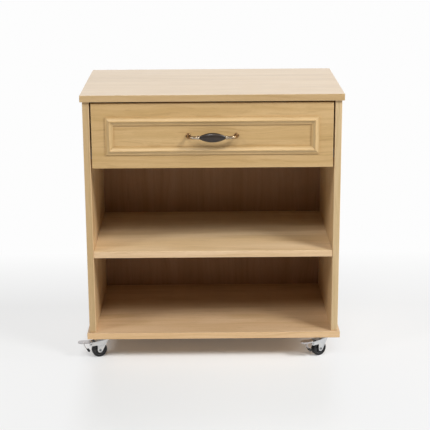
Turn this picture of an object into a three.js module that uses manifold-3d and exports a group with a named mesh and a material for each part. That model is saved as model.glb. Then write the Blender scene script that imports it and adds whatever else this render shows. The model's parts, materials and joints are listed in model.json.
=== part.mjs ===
// Waiter service station: an oak-look board cabinet with one drawer, a fixed shelf and four swivel casters.
// Millimetres, +Z up, +X to the right of someone facing the drawer, -Y towards that person, floor at z = 0.

import * as THREE from 'three';
import { mergeVertices } from 'three/addons/utils/BufferGeometryUtils.js';
import Module from 'manifold-3d';

const wasm = await Module();
wasm.setup();

// Cabinet boards
const PANEL_WIDTH = 700;
const PANEL_DEPTH = 430;
const SIDE_HEIGHT = 648;
const BOARD = 18;
const SIDE_OVERHANG = 6;
const FRONT_OVERHANG = 7;
const BOARD_GAP = 0.2;
const BOARD_EASE = 1;
const LOWER_BAY_HEIGHT = 215;
const SHELF_SETBACK = 2;
const BACK_BOARD = 8;
const BACK_INSET = 5;
const GROOVE_DEPTH = 8;
const GROOVE_CLEARANCE = 0.3;

// Drawer front and its mitred frame moulding
const DRAWER_FRONT_HEIGHT = 176;
const DRAWER_TOP_GAP = 5;
const DRAWER_SIDE_GAP = 4;
const FRAME_MARGIN = 37.5;
const MOULDING_WIDTH = 21;
const MOULDING_HEIGHT = 7.5;
const MOULDING_FOOT = 1.8;
const MOULDING_BEAD = 3.4;
const MOULDING_BEAD_RISE = 1;
const MOULDING_QUIRK = 0.5;
const MITRE_GAP = 0.3;

// Drawer box
const BOX_BOARD = 16;
const BOX_HEIGHT = 110;
const BOX_BACK_GAP = 22;
const BOX_LIFT = 20;
const BOX_BOTTOM = 6;
const BOX_BOTTOM_RISE = 12;
const BOX_GROOVE_DEPTH = 7;

// Roller runners
const RUNNER_GAP = 12.5;
const RUNNER_FRONT_GAP = 2;
const RUNNER_BACK_GAP = 18;
const RAIL_SHEET = 1.2;
const RAIL_TOP_REACH = 7;
const RAIL_BOTTOM_REACH = 9.6;
const RAIL_LIFT = 2;
const RAIL_INNER_HEIGHT = 21.6;
const RAIL_CLEARANCE = 0.8;
const DRAWER_RAIL_LEG = 10;
const DRAWER_RAIL_REACH = 7;
const ROLLER_RADIUS = 8;
const ROLLER_WIDTH = 6.4;
const ROLLER_END_INSET = 14;
const ROLLER_PIN_RADIUS = 2;
const ROLLER_PIN_HEAD = 1;
const ROLLER_PIN_HEAD_RADIUS = 3.5;

// Bow handle
const HANDLE_SPACING = 128;
const HANDLE_REACH = 27;
const HANDLE_ROD_RADIUS = 4.2;
const HANDLE_BOW = 20;
const HANDLE_FOOT_RADIUS = 7;
const HANDLE_FOOT_HEIGHT = 4;
const HANDLE_FOOT_EDGE = 1.6;
const HANDLE_NECK_RADIUS = 4.8;
const HANDLE_COLLAR_RADIUS = 5.8;
const HANDLE_COLLAR_LENGTH = 5;
const GRIP_LENGTH = 70;
const GRIP_HEIGHT = 26;
const GRIP_THICKNESS = 13;
const GRIP_END_RADIUS = 3.6;
const GRIP_TAPER = 0.85;

// Swivel casters
const CASTER_HEIGHT = 62.5;
const CASTER_SIDE_INSET = 43;
const CASTER_END_INSET = 40;
const CASTER_TRAIL = 15;
const WHEEL_RADIUS = 21;
const TYRE_WIDTH = 16;
const TYRE_SHOULDER = 3;
const RIM_RADIUS = 15.5;
const RIM_WALL = 2;
const RIM_WIDTH = 13;
const HUB_RADIUS = 6;
const HUB_LENGTH = 17.4;
const WHEEL_WEB = 5;
const AXLE_RADIUS = 2.6;
const AXLE_BORE = 1.6;
const AXLE_HEAD = 1;
const AXLE_HEAD_RADIUS = 4;
const FORK_SHEET = 2;
const FORK_SIDE_GAP = 1.2;
const FORK_CROWN_DROP = 12;
const FORK_SLOPE = 0.11;
const FORK_LEADING = 9.5;
const FORK_WEB_END = 27;
const FORK_LEG_RADIUS = 7;
const FORK_HEAD_RADIUS = 12.6;
const FORK_HEAD_RIM = 1.2;
const FORK_NECK_RADIUS = 9.8;
const FORK_HEAD_DROP = 3.4;
const PLATE_SIZE = 48;
const PLATE_SHEET = 2;
const PLATE_CORNER = 6;
const PLATE_HOLE_RADIUS = 2.6;
const PLATE_HOLE_SPACING = 36;
const PLATE_DISH_RADIUS = 7;
const PLATE_DISH_DEPTH = 1.8;
const PLATE_SKIRT = 1.2;
const RACE_GAP = 3;
const RACE_RADIUS = 11;
const KINGPIN_RADIUS = 3;
const KINGPIN_HEAD = 1.4;
const KINGPIN_HEAD_RADIUS = 5.2;
const RIVET_CHAMFER = 0.8;

// Brake pedals of the two front casters, and how far each caster is turned from facing left
const BRAKE_PIVOT_REACH = 25.8;
const BRAKE_PIVOT_RISE = 20;
const BRAKE_EAR_RADIUS = 5.2;
const BRAKE_PIN_RADIUS = 1.8;
const BRAKE_PIN_HEAD_RADIUS = 2.8;
const BRAKE_PIN_HEAD = 0.8;
const PEDAL_SHEET = 1.8;
const PEDAL_REACH = 35;
const PEDAL_WIDTH = 20;
const PEDAL_FLARE = 5;
const PEDAL_RISE = 6.6;
const PEDAL_LIP = 4;
const PEDAL_TILT = 4;
const PEDAL_EAR_RADIUS = 4.3;
const PEDAL_CLEARANCE = 0.4;
const PEDAL_ARM_ROOT = 19;
const PEDAL_ARM_KNEE = 18;
const SHOE_RADIUS = 3.4;
const SHOE_DROP = 20;
const SHOE_OFFSET = 5;
const SHOE_WIDTH = 12;
const FRONT_LEFT_TURN = 19;
const FRONT_RIGHT_TURN = 32;
const REAR_LEFT_TURN = 24;
const REAR_RIGHT_TURN = 12;

// Fits
const RUNNING_CLEARANCE = 0.2;
const SEAT_GAP = 0.3;

// Round shapes are cut into this many flats
const FINE_SEGMENTS = 24;
const ROUND_SEGMENTS = 16;
const SMALL_SEGMENTS = 10;
const HOLE_SEGMENTS = 8;
const RING_SIDES = 5;
const ARC_STEPS = 6;
const ROUND_STEPS = 3;
const SHOULDER_STEPS = 2;
const EASE_STEPS = 1;

// Places worked out from the sizes
const bottomUnder = CASTER_HEIGHT;
const bottomTop = bottomUnder + BOARD;
const topUnder = bottomTop + SIDE_HEIGHT;
const panelFront = -PANEL_DEPTH / 2;
const panelBack = PANEL_DEPTH / 2;
const sideFront = panelFront + FRONT_OVERHANG;
const sideOuter = PANEL_WIDTH / 2 - SIDE_OVERHANG;
const sideInner = sideOuter - BOARD;
const backFace = panelBack - BACK_INSET - BACK_BOARD;
const shelfUnder = bottomTop + LOWER_BAY_HEIGHT;
const frontTop = topUnder - DRAWER_TOP_GAP;
const frontBottom = frontTop - DRAWER_FRONT_HEIGHT;
const frontMiddle = (frontTop + frontBottom) / 2;
const frontWidth = 2 * (sideInner - DRAWER_SIDE_GAP);
const frontBackFace = sideFront + BOARD;
const boxOuter = sideInner - RUNNER_GAP;
const boxUnder = frontBottom + BOX_LIFT;
const boxFront = frontBackFace + BOARD_GAP;
const boxBack = backFace - BOX_BACK_GAP;
const railFront = frontBackFace + RUNNER_FRONT_GAP;
const railBack = boxBack - RUNNER_BACK_GAP;
const axleHeight = WHEEL_RADIUS;
const forkInner = TYRE_WIDTH / 2 + FORK_SIDE_GAP;
const forkOuter = forkInner + FORK_SHEET;
const plateTop = CASTER_HEIGHT - SEAT_GAP;
const plateUnder = plateTop - PLATE_SHEET;
const crownTop = plateUnder - RACE_GAP;
const brakePivotX = CASTER_TRAIL + BRAKE_PIVOT_REACH;
const brakePivotZ = axleHeight + BRAKE_PIVOT_RISE;

// Finishes
const oak = { color: 0xc3a374, roughness: 0.5, metalness: 0 };
const boxBoardFinish = { color: 0xd8c7a8, roughness: 0.6, metalness: 0 };
const runnerFinish = { color: 0xe9e6df, roughness: 0.45, metalness: 0.1 };
const rollerFinish = { color: 0xf1efe8, roughness: 0.5, metalness: 0 };
const zinc = { color: 0xc9cccf, roughness: 0.3, metalness: 0.9 };
const steel = { color: 0x9a9da1, roughness: 0.35, metalness: 0.9 };
const tyreFinish = { color: 0x1b1b1c, roughness: 0.75, metalness: 0 };
const wheelFinish = { color: 0x3a3a3b, roughness: 0.5, metalness: 0 };
const oldBrass = { color: 0xb7a079, roughness: 0.35, metalness: 0.9 };
const pewter = { color: 0x2d2b2a, roughness: 0.3, metalness: 0.7 };

// Closed solids and booleans

function positionsOnly(geometry) {
  const bare = geometry.clone();
  for (const name of Object.keys(bare.attributes)) {
    if (name !== 'position') bare.deleteAttribute(name);
  }
  return mergeVertices(bare, 1e-4);
}

function signedVolume(geometry) {
  const position = geometry.getAttribute('position');
  const index = geometry.getIndex();
  const a = new THREE.Vector3();
  const b = new THREE.Vector3();
  const c = new THREE.Vector3();
  let volume = 0;
  for (let i = 0; i < index.count; i += 3) {
    a.fromBufferAttribute(position, index.getX(i));
    b.fromBufferAttribute(position, index.getX(i + 1));
    c.fromBufferAttribute(position, index.getX(i + 2));
    volume += a.dot(b.cross(c)) / 6;
  }
  return volume;
}

// Turns the faces outwards, so that mirrored shapes and either order of an outline work.
function outward(geometry) {
  const bare = positionsOnly(geometry);
  if (signedVolume(bare) < 0) {
    const index = Array.from(bare.getIndex().array);
    for (let i = 0; i < index.length; i += 3) {
      [index[i + 1], index[i + 2]] = [index[i + 2], index[i + 1]];
    }
    bare.setIndex(index);
  }
  return bare;
}

function solidOf(geometry) {
  const bare = outward(geometry);
  const vertProperties = new Float32Array(bare.getAttribute('position').array);
  const triVerts = new Uint32Array(bare.getIndex().array);
  return new wasm.Manifold(new wasm.Mesh({ numProp: 3, vertProperties, triVerts }));
}

function geometryOf(solid) {
  const mesh = solid.getMesh();
  const geometry = new THREE.BufferGeometry();
  geometry.setAttribute('position', new THREE.BufferAttribute(new Float32Array(mesh.vertProperties), 3));
  geometry.setIndex(Array.from(mesh.triVerts));
  return geometry;
}

function join(...geometries) {
  return geometryOf(geometries.map(solidOf).reduce((whole, next) => whole.add(next)));
}

function cut(geometry, ...tools) {
  return geometryOf(tools.map(solidOf).reduce((rest, tool) => rest.subtract(tool), solidOf(geometry)));
}

// Outlines and bodies

function outline(points) {
  return new THREE.Shape(points.map(([x, y]) => new THREE.Vector2(x, y)));
}

function arcPoints(x, y, radius, fromDegrees, toDegrees, steps = ARC_STEPS) {
  const points = [];
  for (let i = 0; i <= steps; i += 1) {
    const angle = THREE.MathUtils.degToRad(fromDegrees + ((toDegrees - fromDegrees) * i) / steps);
    points.push([x + radius * Math.cos(angle), y + radius * Math.sin(angle)]);
  }
  return points;
}

// The angle about a circle's centre at which a line from a point outside touches the circle. With `side` 1
// the touching place lies to the left of the way from the centre to the point, with -1 to the right.
function touchAngle(x, y, centreX, centreY, radius, side) {
  const towards = Math.atan2(y - centreY, x - centreX);
  const opening = Math.acos(radius / Math.hypot(x - centreX, y - centreY));
  return THREE.MathUtils.radToDeg(towards + side * opening);
}

function roundedRectangle(width, height, radius, steps = ARC_STEPS) {
  const x = width / 2 - radius;
  const y = height / 2 - radius;
  return [
    ...arcPoints(x, y, radius, 0, 90, steps),
    ...arcPoints(-x, y, radius, 90, 180, steps),
    ...arcPoints(-x, -y, radius, 180, 270, steps),
    ...arcPoints(x, -y, radius, 270, 360, steps),
  ];
}

function extrude(points, depth) {
  return new THREE.ExtrudeGeometry(outline(points), { depth, bevelEnabled: false });
}

// An outline in X and Z, run along Y between two places.
function prismAlongY(points, fromY, toY) {
  const body = extrude(points, toY - fromY);
  body.rotateX(Math.PI / 2);
  return body.translate(0, toY, 0);
}

// A profile of radius and height, turned about Z.
function turnedAboutZ(profile, segments) {
  const points = [...profile, profile[0]].map(([radius, z]) => new THREE.Vector2(radius, z));
  return outward(new THREE.LatheGeometry(points, segments).rotateX(Math.PI / 2));
}

// A profile of radius and place along Y, turned about Y.
function turnedAboutY(profile, segments) {
  const points = [...profile, profile[0]].map(([radius, y]) => new THREE.Vector2(radius, y));
  return outward(new THREE.LatheGeometry(points, segments));
}

function cylinderAlongY(radius, fromY, toY, segments = SMALL_SEGMENTS) {
  const body = new THREE.CylinderGeometry(radius, radius, toY - fromY, segments);
  return body.translate(0, (fromY + toY) / 2, 0);
}

function cylinderAlongZ(radius, fromZ, toZ, segments = SMALL_SEGMENTS) {
  const body = new THREE.CylinderGeometry(radius, radius, toZ - fromZ, segments);
  return body.rotateX(Math.PI / 2).translate(0, 0, (fromZ + toZ) / 2);
}

function block(fromX, toX, fromY, toY, fromZ, toZ) {
  const body = new THREE.BoxGeometry(toX - fromX, toY - fromY, toZ - fromZ);
  return body.translate((fromX + toX) / 2, (fromY + toY) / 2, (fromZ + toZ) / 2);
}

// A board with eased arrises, given by its lowest and highest corners.
function board(fromX, toX, fromY, toY, fromZ, toZ) {
  const plan = roundedRectangle(toX - fromX, toY - fromY, BOARD_EASE, EASE_STEPS);
  const body = new THREE.ExtrudeGeometry(outline(plan), {
    depth: toZ - fromZ - 2 * BOARD_EASE,
    bevelThickness: BOARD_EASE,
    bevelSize: BOARD_EASE / 2,
    bevelOffset: -BOARD_EASE / 2,
    bevelSegments: EASE_STEPS,
  });
  return body.translate((fromX + toX) / 2, (fromY + toY) / 2, fromZ + BOARD_EASE);
}

const station = new THREE.Group();

function piece(parent, name, geometry, finish) {
  const mesh = new THREE.Mesh(outward(geometry), new THREE.MeshStandardMaterial(finish));
  mesh.name = name;
  parent.add(mesh);
}

// Cabinet: overhanging top and bottom boards, two sides, a shelf and a back that sits in grooves

function buildCabinet() {
  const backTongue = GROOVE_DEPTH - GROOVE_CLEARANCE;
  const grooveFront = backFace - GROOVE_CLEARANCE;
  const grooveBack = backFace + BACK_BOARD + GROOVE_CLEARANCE;
  const backGroove = block(
    -sideInner - GROOVE_DEPTH,
    sideInner + GROOVE_DEPTH,
    grooveFront,
    grooveBack,
    bottomTop - GROOVE_DEPTH,
    topUnder + GROOVE_DEPTH,
  );
  const halfWidth = PANEL_WIDTH / 2;
  const sideUnder = bottomTop + BOARD_GAP;
  const sideTop = topUnder - BOARD_GAP;
  const top = board(-halfWidth, halfWidth, panelFront, panelBack, topUnder, topUnder + BOARD);
  const bottom = board(-halfWidth, halfWidth, panelFront, panelBack, bottomUnder, bottomTop);
  piece(station, 'top_panel', cut(top, backGroove), oak);
  piece(station, 'bottom_panel', cut(bottom, backGroove), oak);
  for (const [name, side] of [['left_side_panel', -1], ['right_side_panel', 1]]) {
    const panel = board(sideInner, sideOuter, sideFront, panelBack, sideUnder, sideTop);
    piece(station, name, cut(panel.scale(side, 1, 1), backGroove), oak);
  }
  const shelfSide = sideInner - BOARD_GAP;
  const shelfFront = sideFront + SHELF_SETBACK;
  const shelfBack = backFace - BOARD_GAP;
  const shelf = board(-shelfSide, shelfSide, shelfFront, shelfBack, shelfUnder, shelfUnder + BOARD);
  piece(station, 'middle_shelf', shelf, oak);
  const backSide = sideInner + backTongue;
  const back = block(
    -backSide,
    backSide,
    backFace,
    backFace + BACK_BOARD,
    bottomTop - backTongue,
    topUnder + backTongue,
  );
  piece(station, 'back_panel', back, oak);
}

// Drawer front with its mitred moulding

// The moulding's section: a square foot, a cove, a quirk and a bead, the same on both sides of the ridge.
function mouldingSection() {
  const beadRadius = MOULDING_BEAD / 2;
  const ridge = MOULDING_WIDTH / 2;
  const beadFoot = MOULDING_HEIGHT - MOULDING_BEAD_RISE;
  const coveRise = beadFoot - MOULDING_QUIRK - MOULDING_FOOT;
  const coveWidth = ridge - beadRadius;
  const left = [[0, 0]];
  for (let i = 0; i <= ARC_STEPS; i += 1) {
    const share = i / ARC_STEPS;
    const rise = 1 - Math.cos((share * Math.PI) / 2);
    left.push([coveWidth * share, MOULDING_FOOT + coveRise * rise]);
  }
  for (let i = 0; i < ARC_STEPS; i += 1) {
    const angle = (i / ARC_STEPS) * (Math.PI / 2);
    left.push([ridge - beadRadius * Math.cos(angle), beadFoot + MOULDING_BEAD_RISE * Math.sin(angle)]);
  }
  const right = left.map(([across, height]) => [MOULDING_WIDTH - across, height]).reverse();
  return [...left, [ridge, MOULDING_HEIGHT], ...right];
}

// A strip of moulding whose outer edge is `length` long. It lies along X with its outer edge at y = 0 and
// its back at z = 0, and its ends are cut to the mitre.
function mitredStrip(length) {
  const strip = extrude(mouldingSection(), length).translate(0, 0, -length / 2);
  const position = strip.getAttribute('position');
  for (let i = 0; i < position.count; i += 1) {
    const across = position.getX(i);
    const height = position.getY(i);
    const end = Math.sign(position.getZ(i));
    const along = end * (length / 2 - across - MITRE_GAP / 2);
    position.setXYZ(i, along, across, height);
  }
  return strip;
}

function buildMouldings(drawer) {
  const width = frontWidth - 2 * FRAME_MARGIN;
  const height = DRAWER_FRONT_HEIGHT - 2 * FRAME_MARGIN;
  const face = sideFront - SEAT_GAP;
  const strips = [
    ['moulding_bottom', width, 0, 0, -height / 2],
    ['moulding_right', height, -90, width / 2, 0],
    ['moulding_top', width, 180, 0, height / 2],
    ['moulding_left', height, 90, -width / 2, 0],
  ];
  for (const [name, length, turn, x, z] of strips) {
    const strip = mitredStrip(length);
    strip.rotateX(Math.PI / 2);
    strip.rotateY(THREE.MathUtils.degToRad(turn));
    piece(drawer, name, strip.translate(x, face, frontMiddle + z), oak);
  }
}

function buildDrawerBox(drawer) {
  const inner = boxOuter - BOX_BOARD;
  const boxTop = boxUnder + BOX_HEIGHT;
  const floorLow = boxUnder + BOX_BOTTOM_RISE;
  const floorHigh = floorLow + BOX_BOTTOM;
  const grooveSide = inner + BOX_GROOVE_DEPTH;
  const grooveFront = boxFront + BOX_BOARD - BOX_GROOVE_DEPTH;
  const grooveBack = boxBack - BOX_BOARD + BOX_GROOVE_DEPTH;
  const groove = block(
    -grooveSide,
    grooveSide,
    grooveFront,
    grooveBack,
    floorLow - GROOVE_CLEARANCE,
    floorHigh + GROOVE_CLEARANCE,
  );
  for (const [name, side] of [['drawer_box_left', -1], ['drawer_box_right', 1]]) {
    const wall = board(inner, boxOuter, boxFront, boxBack, boxUnder, boxTop);
    piece(drawer, name, cut(wall.scale(side, 1, 1), groove), boxBoardFinish);
  }
  const endSide = inner - BOARD_GAP;
  const ends = [['drawer_box_front', boxFront], ['drawer_box_back', boxBack - BOX_BOARD]];
  for (const [name, start] of ends) {
    const wall = board(-endSide, endSide, start, start + BOX_BOARD, boxUnder, boxTop);
    piece(drawer, name, cut(wall, groove), boxBoardFinish);
  }
  const floorSide = grooveSide - GROOVE_CLEARANCE;
  const floor = block(
    -floorSide,
    floorSide,
    grooveFront + GROOVE_CLEARANCE,
    grooveBack - GROOVE_CLEARANCE,
    floorLow,
    floorHigh,
  );
  piece(drawer, 'drawer_box_bottom', floor, boxBoardFinish);
}

// Roller runners: a channel on each cabinet side with a roller at its front, and an angle under each side
// of the drawer box with a roller at its rear

// A headed pin along X from a rail's web, and the roller that turns on it.
function rollerAndPin(webX, towards, y, z) {
  const start = webX + towards * RUNNING_CLEARANCE;
  const end = start + towards * ROLLER_WIDTH;
  const headStart = end + towards * RUNNING_CLEARANCE;
  const headEnd = headStart + towards * ROLLER_PIN_HEAD;
  const bore = ROLLER_PIN_RADIUS + RUNNING_CLEARANCE;
  const roller = turnedAboutY(
    [[bore, start], [ROLLER_RADIUS, start], [ROLLER_RADIUS, end], [bore, end]],
    ROUND_SEGMENTS,
  );
  const root = webX - (towards * RAIL_SHEET) / 2;
  const pin = turnedAboutY(
    [
      [0, root],
      [ROLLER_PIN_RADIUS, root],
      [ROLLER_PIN_RADIUS, headStart],
      [ROLLER_PIN_HEAD_RADIUS, headStart],
      [ROLLER_PIN_HEAD_RADIUS, headEnd],
      [0, headEnd],
    ],
    SMALL_SEGMENTS,
  );
  const alongX = (geometry) => geometry.rotateZ(-Math.PI / 2).translate(0, y, z);
  return { roller: alongX(roller), pin: alongX(pin) };
}

function buildRunners(drawer) {
  const railUnder = boxUnder + RAIL_LIFT;
  const channelFloor = railUnder + RAIL_SHEET;
  const channelRoof = channelFloor + RAIL_INNER_HEIGHT;
  const flangeTop = channelRoof - RAIL_CLEARANCE;
  const flangeUnder = flangeTop - RAIL_SHEET;
  const webFace = sideInner - BOARD_GAP;
  const legTop = boxUnder - BOARD_GAP;
  const angleInner = boxOuter + BOARD_GAP;
  const angleOuter = angleInner + RAIL_SHEET;
  for (const [name, side] of [['left', -1], ['right', 1]]) {
    const channel = prismAlongY(
      [
        [webFace, railUnder],
        [webFace, channelRoof + RAIL_SHEET],
        [webFace - RAIL_TOP_REACH, channelRoof + RAIL_SHEET],
        [webFace - RAIL_TOP_REACH, channelRoof],
        [webFace - RAIL_SHEET, channelRoof],
        [webFace - RAIL_SHEET, channelFloor],
        [webFace - RAIL_BOTTOM_REACH, channelFloor],
        [webFace - RAIL_BOTTOM_REACH, railUnder],
      ],
      railFront,
      railBack,
    );
    const frontRollerZ = flangeUnder - SEAT_GAP - ROLLER_RADIUS;
    const front = rollerAndPin(webFace - RAIL_SHEET, -1, railFront + ROLLER_END_INSET, frontRollerZ);
    const mirrored = (geometry) => geometry.clone().scale(side, 1, 1);
    piece(station, `${name}_cabinet_runner`, join(mirrored(channel), mirrored(front.pin)), runnerFinish);
    piece(station, `${name}_front_roller`, mirrored(front.roller), rollerFinish);

    const angle = prismAlongY(
      [
        [boxOuter - DRAWER_RAIL_LEG, legTop - RAIL_SHEET],
        [angleOuter, legTop - RAIL_SHEET],
        [angleOuter, flangeUnder],
        [angleInner + DRAWER_RAIL_REACH, flangeUnder],
        [angleInner + DRAWER_RAIL_REACH, flangeTop],
        [angleInner, flangeTop],
        [angleInner, legTop],
        [boxOuter - DRAWER_RAIL_LEG, legTop],
      ],
      railFront,
      railBack,
    );
    const rearRollerZ = channelFloor + SEAT_GAP + ROLLER_RADIUS;
    const rear = rollerAndPin(angleOuter, 1, railBack - ROLLER_END_INSET, rearRollerZ);
    piece(drawer, `${name}_drawer_runner`, join(mirrored(angle), mirrored(rear.pin)), runnerFinish);
    piece(drawer, `${name}_rear_roller`, mirrored(rear.roller), rollerFinish);
  }
}

// Bow handle: two cast arms with a foot and a collar each, and a leaf-shaped grip between them

function handleArm() {
  const foot = HANDLE_SPACING / 2;
  const collarEnd = GRIP_LENGTH / 2 + SEAT_GAP;
  const rodEnd = collarEnd + HANDLE_COLLAR_LENGTH / 2;
  const bow = new THREE.CubicBezierCurve3(
    new THREE.Vector3(foot, -HANDLE_FOOT_HEIGHT / 2, 0),
    new THREE.Vector3(foot, -HANDLE_FOOT_HEIGHT / 2 - HANDLE_BOW, 0),
    new THREE.Vector3(rodEnd + HANDLE_BOW, -HANDLE_REACH, 0),
    new THREE.Vector3(rodEnd, -HANDLE_REACH, 0),
  );
  const section = outline(arcPoints(0, 0, HANDLE_ROD_RADIUS, 0, 360, SMALL_SEGMENTS).slice(1));
  const along = { steps: SMALL_SEGMENTS, bevelEnabled: false, extrudePath: bow };
  const rod = new THREE.ExtrudeGeometry(section, along);
  const footProfile = [[0, 0], [HANDLE_FOOT_RADIUS, 0]];
  const collarProfile = [[0, collarEnd]];
  for (let i = 0; i <= ROUND_STEPS; i += 1) {
    const share = (i / ROUND_STEPS) * Math.PI;
    const footRadius = HANDLE_NECK_RADIUS + (HANDLE_FOOT_RADIUS - HANDLE_NECK_RADIUS) * Math.cos(share / 2);
    const footRise = HANDLE_FOOT_EDGE + (HANDLE_FOOT_HEIGHT - HANDLE_FOOT_EDGE) * Math.sin(share / 2);
    footProfile.push([footRadius, -footRise]);
    const collarRadius = HANDLE_NECK_RADIUS + (HANDLE_COLLAR_RADIUS - HANDLE_NECK_RADIUS) * Math.sin(share);
    collarProfile.push([collarRadius, collarEnd + (HANDLE_COLLAR_LENGTH * (1 - Math.cos(share))) / 2]);
  }
  footProfile.push([0, -HANDLE_FOOT_HEIGHT]);
  collarProfile.push([0, collarEnd + HANDLE_COLLAR_LENGTH]);
  const rosette = turnedAboutY(footProfile, ROUND_SEGMENTS).translate(foot, 0, 0);
  const collar = turnedAboutY(collarProfile, ROUND_SEGMENTS).rotateZ(-Math.PI / 2);
  collar.translate(0, -HANDLE_REACH, 0);
  return join(rosette, rod, collar);
}

// The grip swells from its two ends to a leaf that is taller than it is thick.
function handleGrip() {
  const half = GRIP_LENGTH / 2;
  const profile = [[0, -half]];
  const steps = 2 * ARC_STEPS;
  for (let i = 0; i <= steps; i += 1) {
    const along = -1 + (2 * i) / steps;
    const swell = Math.cos((along * Math.PI) / 2) ** GRIP_TAPER;
    profile.push([GRIP_END_RADIUS + (GRIP_HEIGHT / 2 - GRIP_END_RADIUS) * swell, half * along]);
  }
  profile.push([0, half]);
  const leaf = turnedAboutY(profile, ROUND_SEGMENTS).rotateZ(-Math.PI / 2);
  return leaf.scale(1, GRIP_THICKNESS / GRIP_HEIGHT, 1).translate(0, -HANDLE_REACH, 0);
}

function buildHandle(drawer) {
  const face = sideFront - SEAT_GAP;
  for (const [name, side] of [['handle_left_arm', -1], ['handle_right_arm', 1]]) {
    piece(drawer, name, handleArm().scale(side, 1, 1).translate(0, face, frontMiddle), oldBrass);
  }
  piece(drawer, 'handle_grip', handleGrip().translate(0, face, frontMiddle), pewter);
}

function buildDrawer() {
  const drawer = new THREE.Group();
  station.add(drawer);
  const halfWidth = frontWidth / 2;
  const front = board(-halfWidth, halfWidth, sideFront, frontBackFace, frontBottom, frontTop);
  piece(drawer, 'drawer_front', front, oak);
  buildMouldings(drawer);
  buildDrawerBox(drawer);
  buildRunners(drawer);
  buildHandle(drawer);
}

// Casters, each drawn with its swivel axis on Z and its wheel trailing along +X

function casterPlate() {
  const dishInner = KINGPIN_RADIUS + RUNNING_CLEARANCE;
  const dishOuter = PLATE_DISH_RADIUS + PLATE_DISH_DEPTH;
  const corner = PLATE_HOLE_SPACING / 2;
  const through = [plateUnder - PLATE_SHEET, plateTop + PLATE_SHEET];
  const holes = [[-1, -1], [1, -1], [1, 1], [-1, 1]].map(([x, y]) => {
    const hole = cylinderAlongZ(PLATE_HOLE_RADIUS, ...through, HOLE_SEGMENTS);
    return hole.translate(x * corner, y * corner, 0);
  });
  const sheet = extrude(roundedRectangle(PLATE_SIZE, PLATE_SIZE, PLATE_CORNER, ROUND_STEPS), PLATE_SHEET);
  const openingRadius = (PLATE_DISH_RADIUS + dishOuter) / 2;
  const opening = cylinderAlongZ(openingRadius, ...through, ROUND_SEGMENTS);
  const square = cut(sheet.translate(0, 0, plateUnder), opening, ...holes);
  const dish = turnedAboutZ(
    [
      [dishInner, plateUnder - PLATE_DISH_DEPTH],
      [PLATE_DISH_RADIUS, plateUnder - PLATE_DISH_DEPTH],
      [dishOuter, plateUnder],
      [dishOuter, plateTop],
      [PLATE_DISH_RADIUS, plateTop],
      [PLATE_DISH_RADIUS - PLATE_DISH_DEPTH, plateTop - PLATE_DISH_DEPTH],
      [dishInner, plateTop - PLATE_DISH_DEPTH],
    ],
    ROUND_SEGMENTS,
  );
  const skirtInner = FORK_HEAD_RADIUS + 2 * SEAT_GAP;
  const skirt = turnedAboutZ(
    [
      [skirtInner, crownTop - PLATE_SKIRT],
      [skirtInner + PLATE_SKIRT, crownTop - PLATE_SKIRT],
      [skirtInner + PLATE_SKIRT, plateUnder + PLATE_SHEET / 2],
      [skirtInner, plateUnder + PLATE_SHEET / 2],
    ],
    ROUND_SEGMENTS,
  );
  return join(square, dish, skirt);
}

// The rivet that holds the fork under the plate. Its upper head lies sunk in the plate's dish.
function kingpin() {
  const dishFloor = plateTop - PLATE_DISH_DEPTH;
  const headTop = dishFloor + KINGPIN_HEAD + RUNNING_CLEARANCE;
  const crownUnder = crownTop - FORK_SHEET;
  const headUnder = crownUnder - SEAT_GAP - KINGPIN_HEAD;
  return turnedAboutZ(
    [
      [0, headUnder],
      [KINGPIN_HEAD_RADIUS - RIVET_CHAMFER, headUnder],
      [KINGPIN_HEAD_RADIUS, headUnder + RIVET_CHAMFER],
      [KINGPIN_HEAD_RADIUS, crownUnder - SEAT_GAP],
      [KINGPIN_RADIUS, crownUnder - SEAT_GAP],
      [KINGPIN_RADIUS, dishFloor + RUNNING_CLEARANCE],
      [KINGPIN_HEAD_RADIUS, dishFloor + RUNNING_CLEARANCE],
      [KINGPIN_HEAD_RADIUS, headTop],
      [0, headTop],
    ],
    SMALL_SEGMENTS,
  );
}

// The ring of balls between plate and fork, drawn as one round-sectioned ring.
function ballRing() {
  const section = RACE_GAP / 2 - RUNNING_CLEARANCE;
  const middle = plateUnder - RACE_GAP / 2;
  return turnedAboutZ(arcPoints(RACE_RADIUS, middle, section, 0, 360, RING_SIDES).slice(1), ROUND_SEGMENTS);
}

// Height of the fork's sloping top sheet at a place along X.
function forkTop(x) {
  return plateTop - FORK_CROWN_DROP + FORK_SLOPE * -x;
}

// The cheek's outline in X and Z: a leg that leans back to the axle and, on a braked caster, an arm that
// reaches on to the pedal's pivot.
function cheekOutline(braked) {
  const armUnder = brakePivotZ - BRAKE_EAR_RADIUS;
  const legBack = CASTER_TRAIL + FORK_LEG_RADIUS;
  const lead = [-FORK_LEADING, forkTop(-FORK_LEADING)];
  const webEnd = [FORK_WEB_END, forkTop(FORK_WEB_END)];
  const points = [lead, webEnd];
  if (braked) {
    const earStart = touchAngle(...webEnd, brakePivotX, brakePivotZ, BRAKE_EAR_RADIUS, -1);
    points.push(...arcPoints(brakePivotX, brakePivotZ, BRAKE_EAR_RADIUS, earStart, -90));
    const crook = [legBack + FORK_SHEET, armUnder - FORK_SHEET];
    points.push(...arcPoints(...crook, FORK_SHEET, 90, 180, ROUND_STEPS));
  } else {
    points.push([legBack, axleHeight + FORK_LEG_RADIUS]);
  }
  const legEnd = touchAngle(...lead, CASTER_TRAIL, axleHeight, FORK_LEG_RADIUS, 1) - 360;
  points.push(...arcPoints(CASTER_TRAIL, axleHeight, FORK_LEG_RADIUS, 0, legEnd));
  return points;
}

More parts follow.
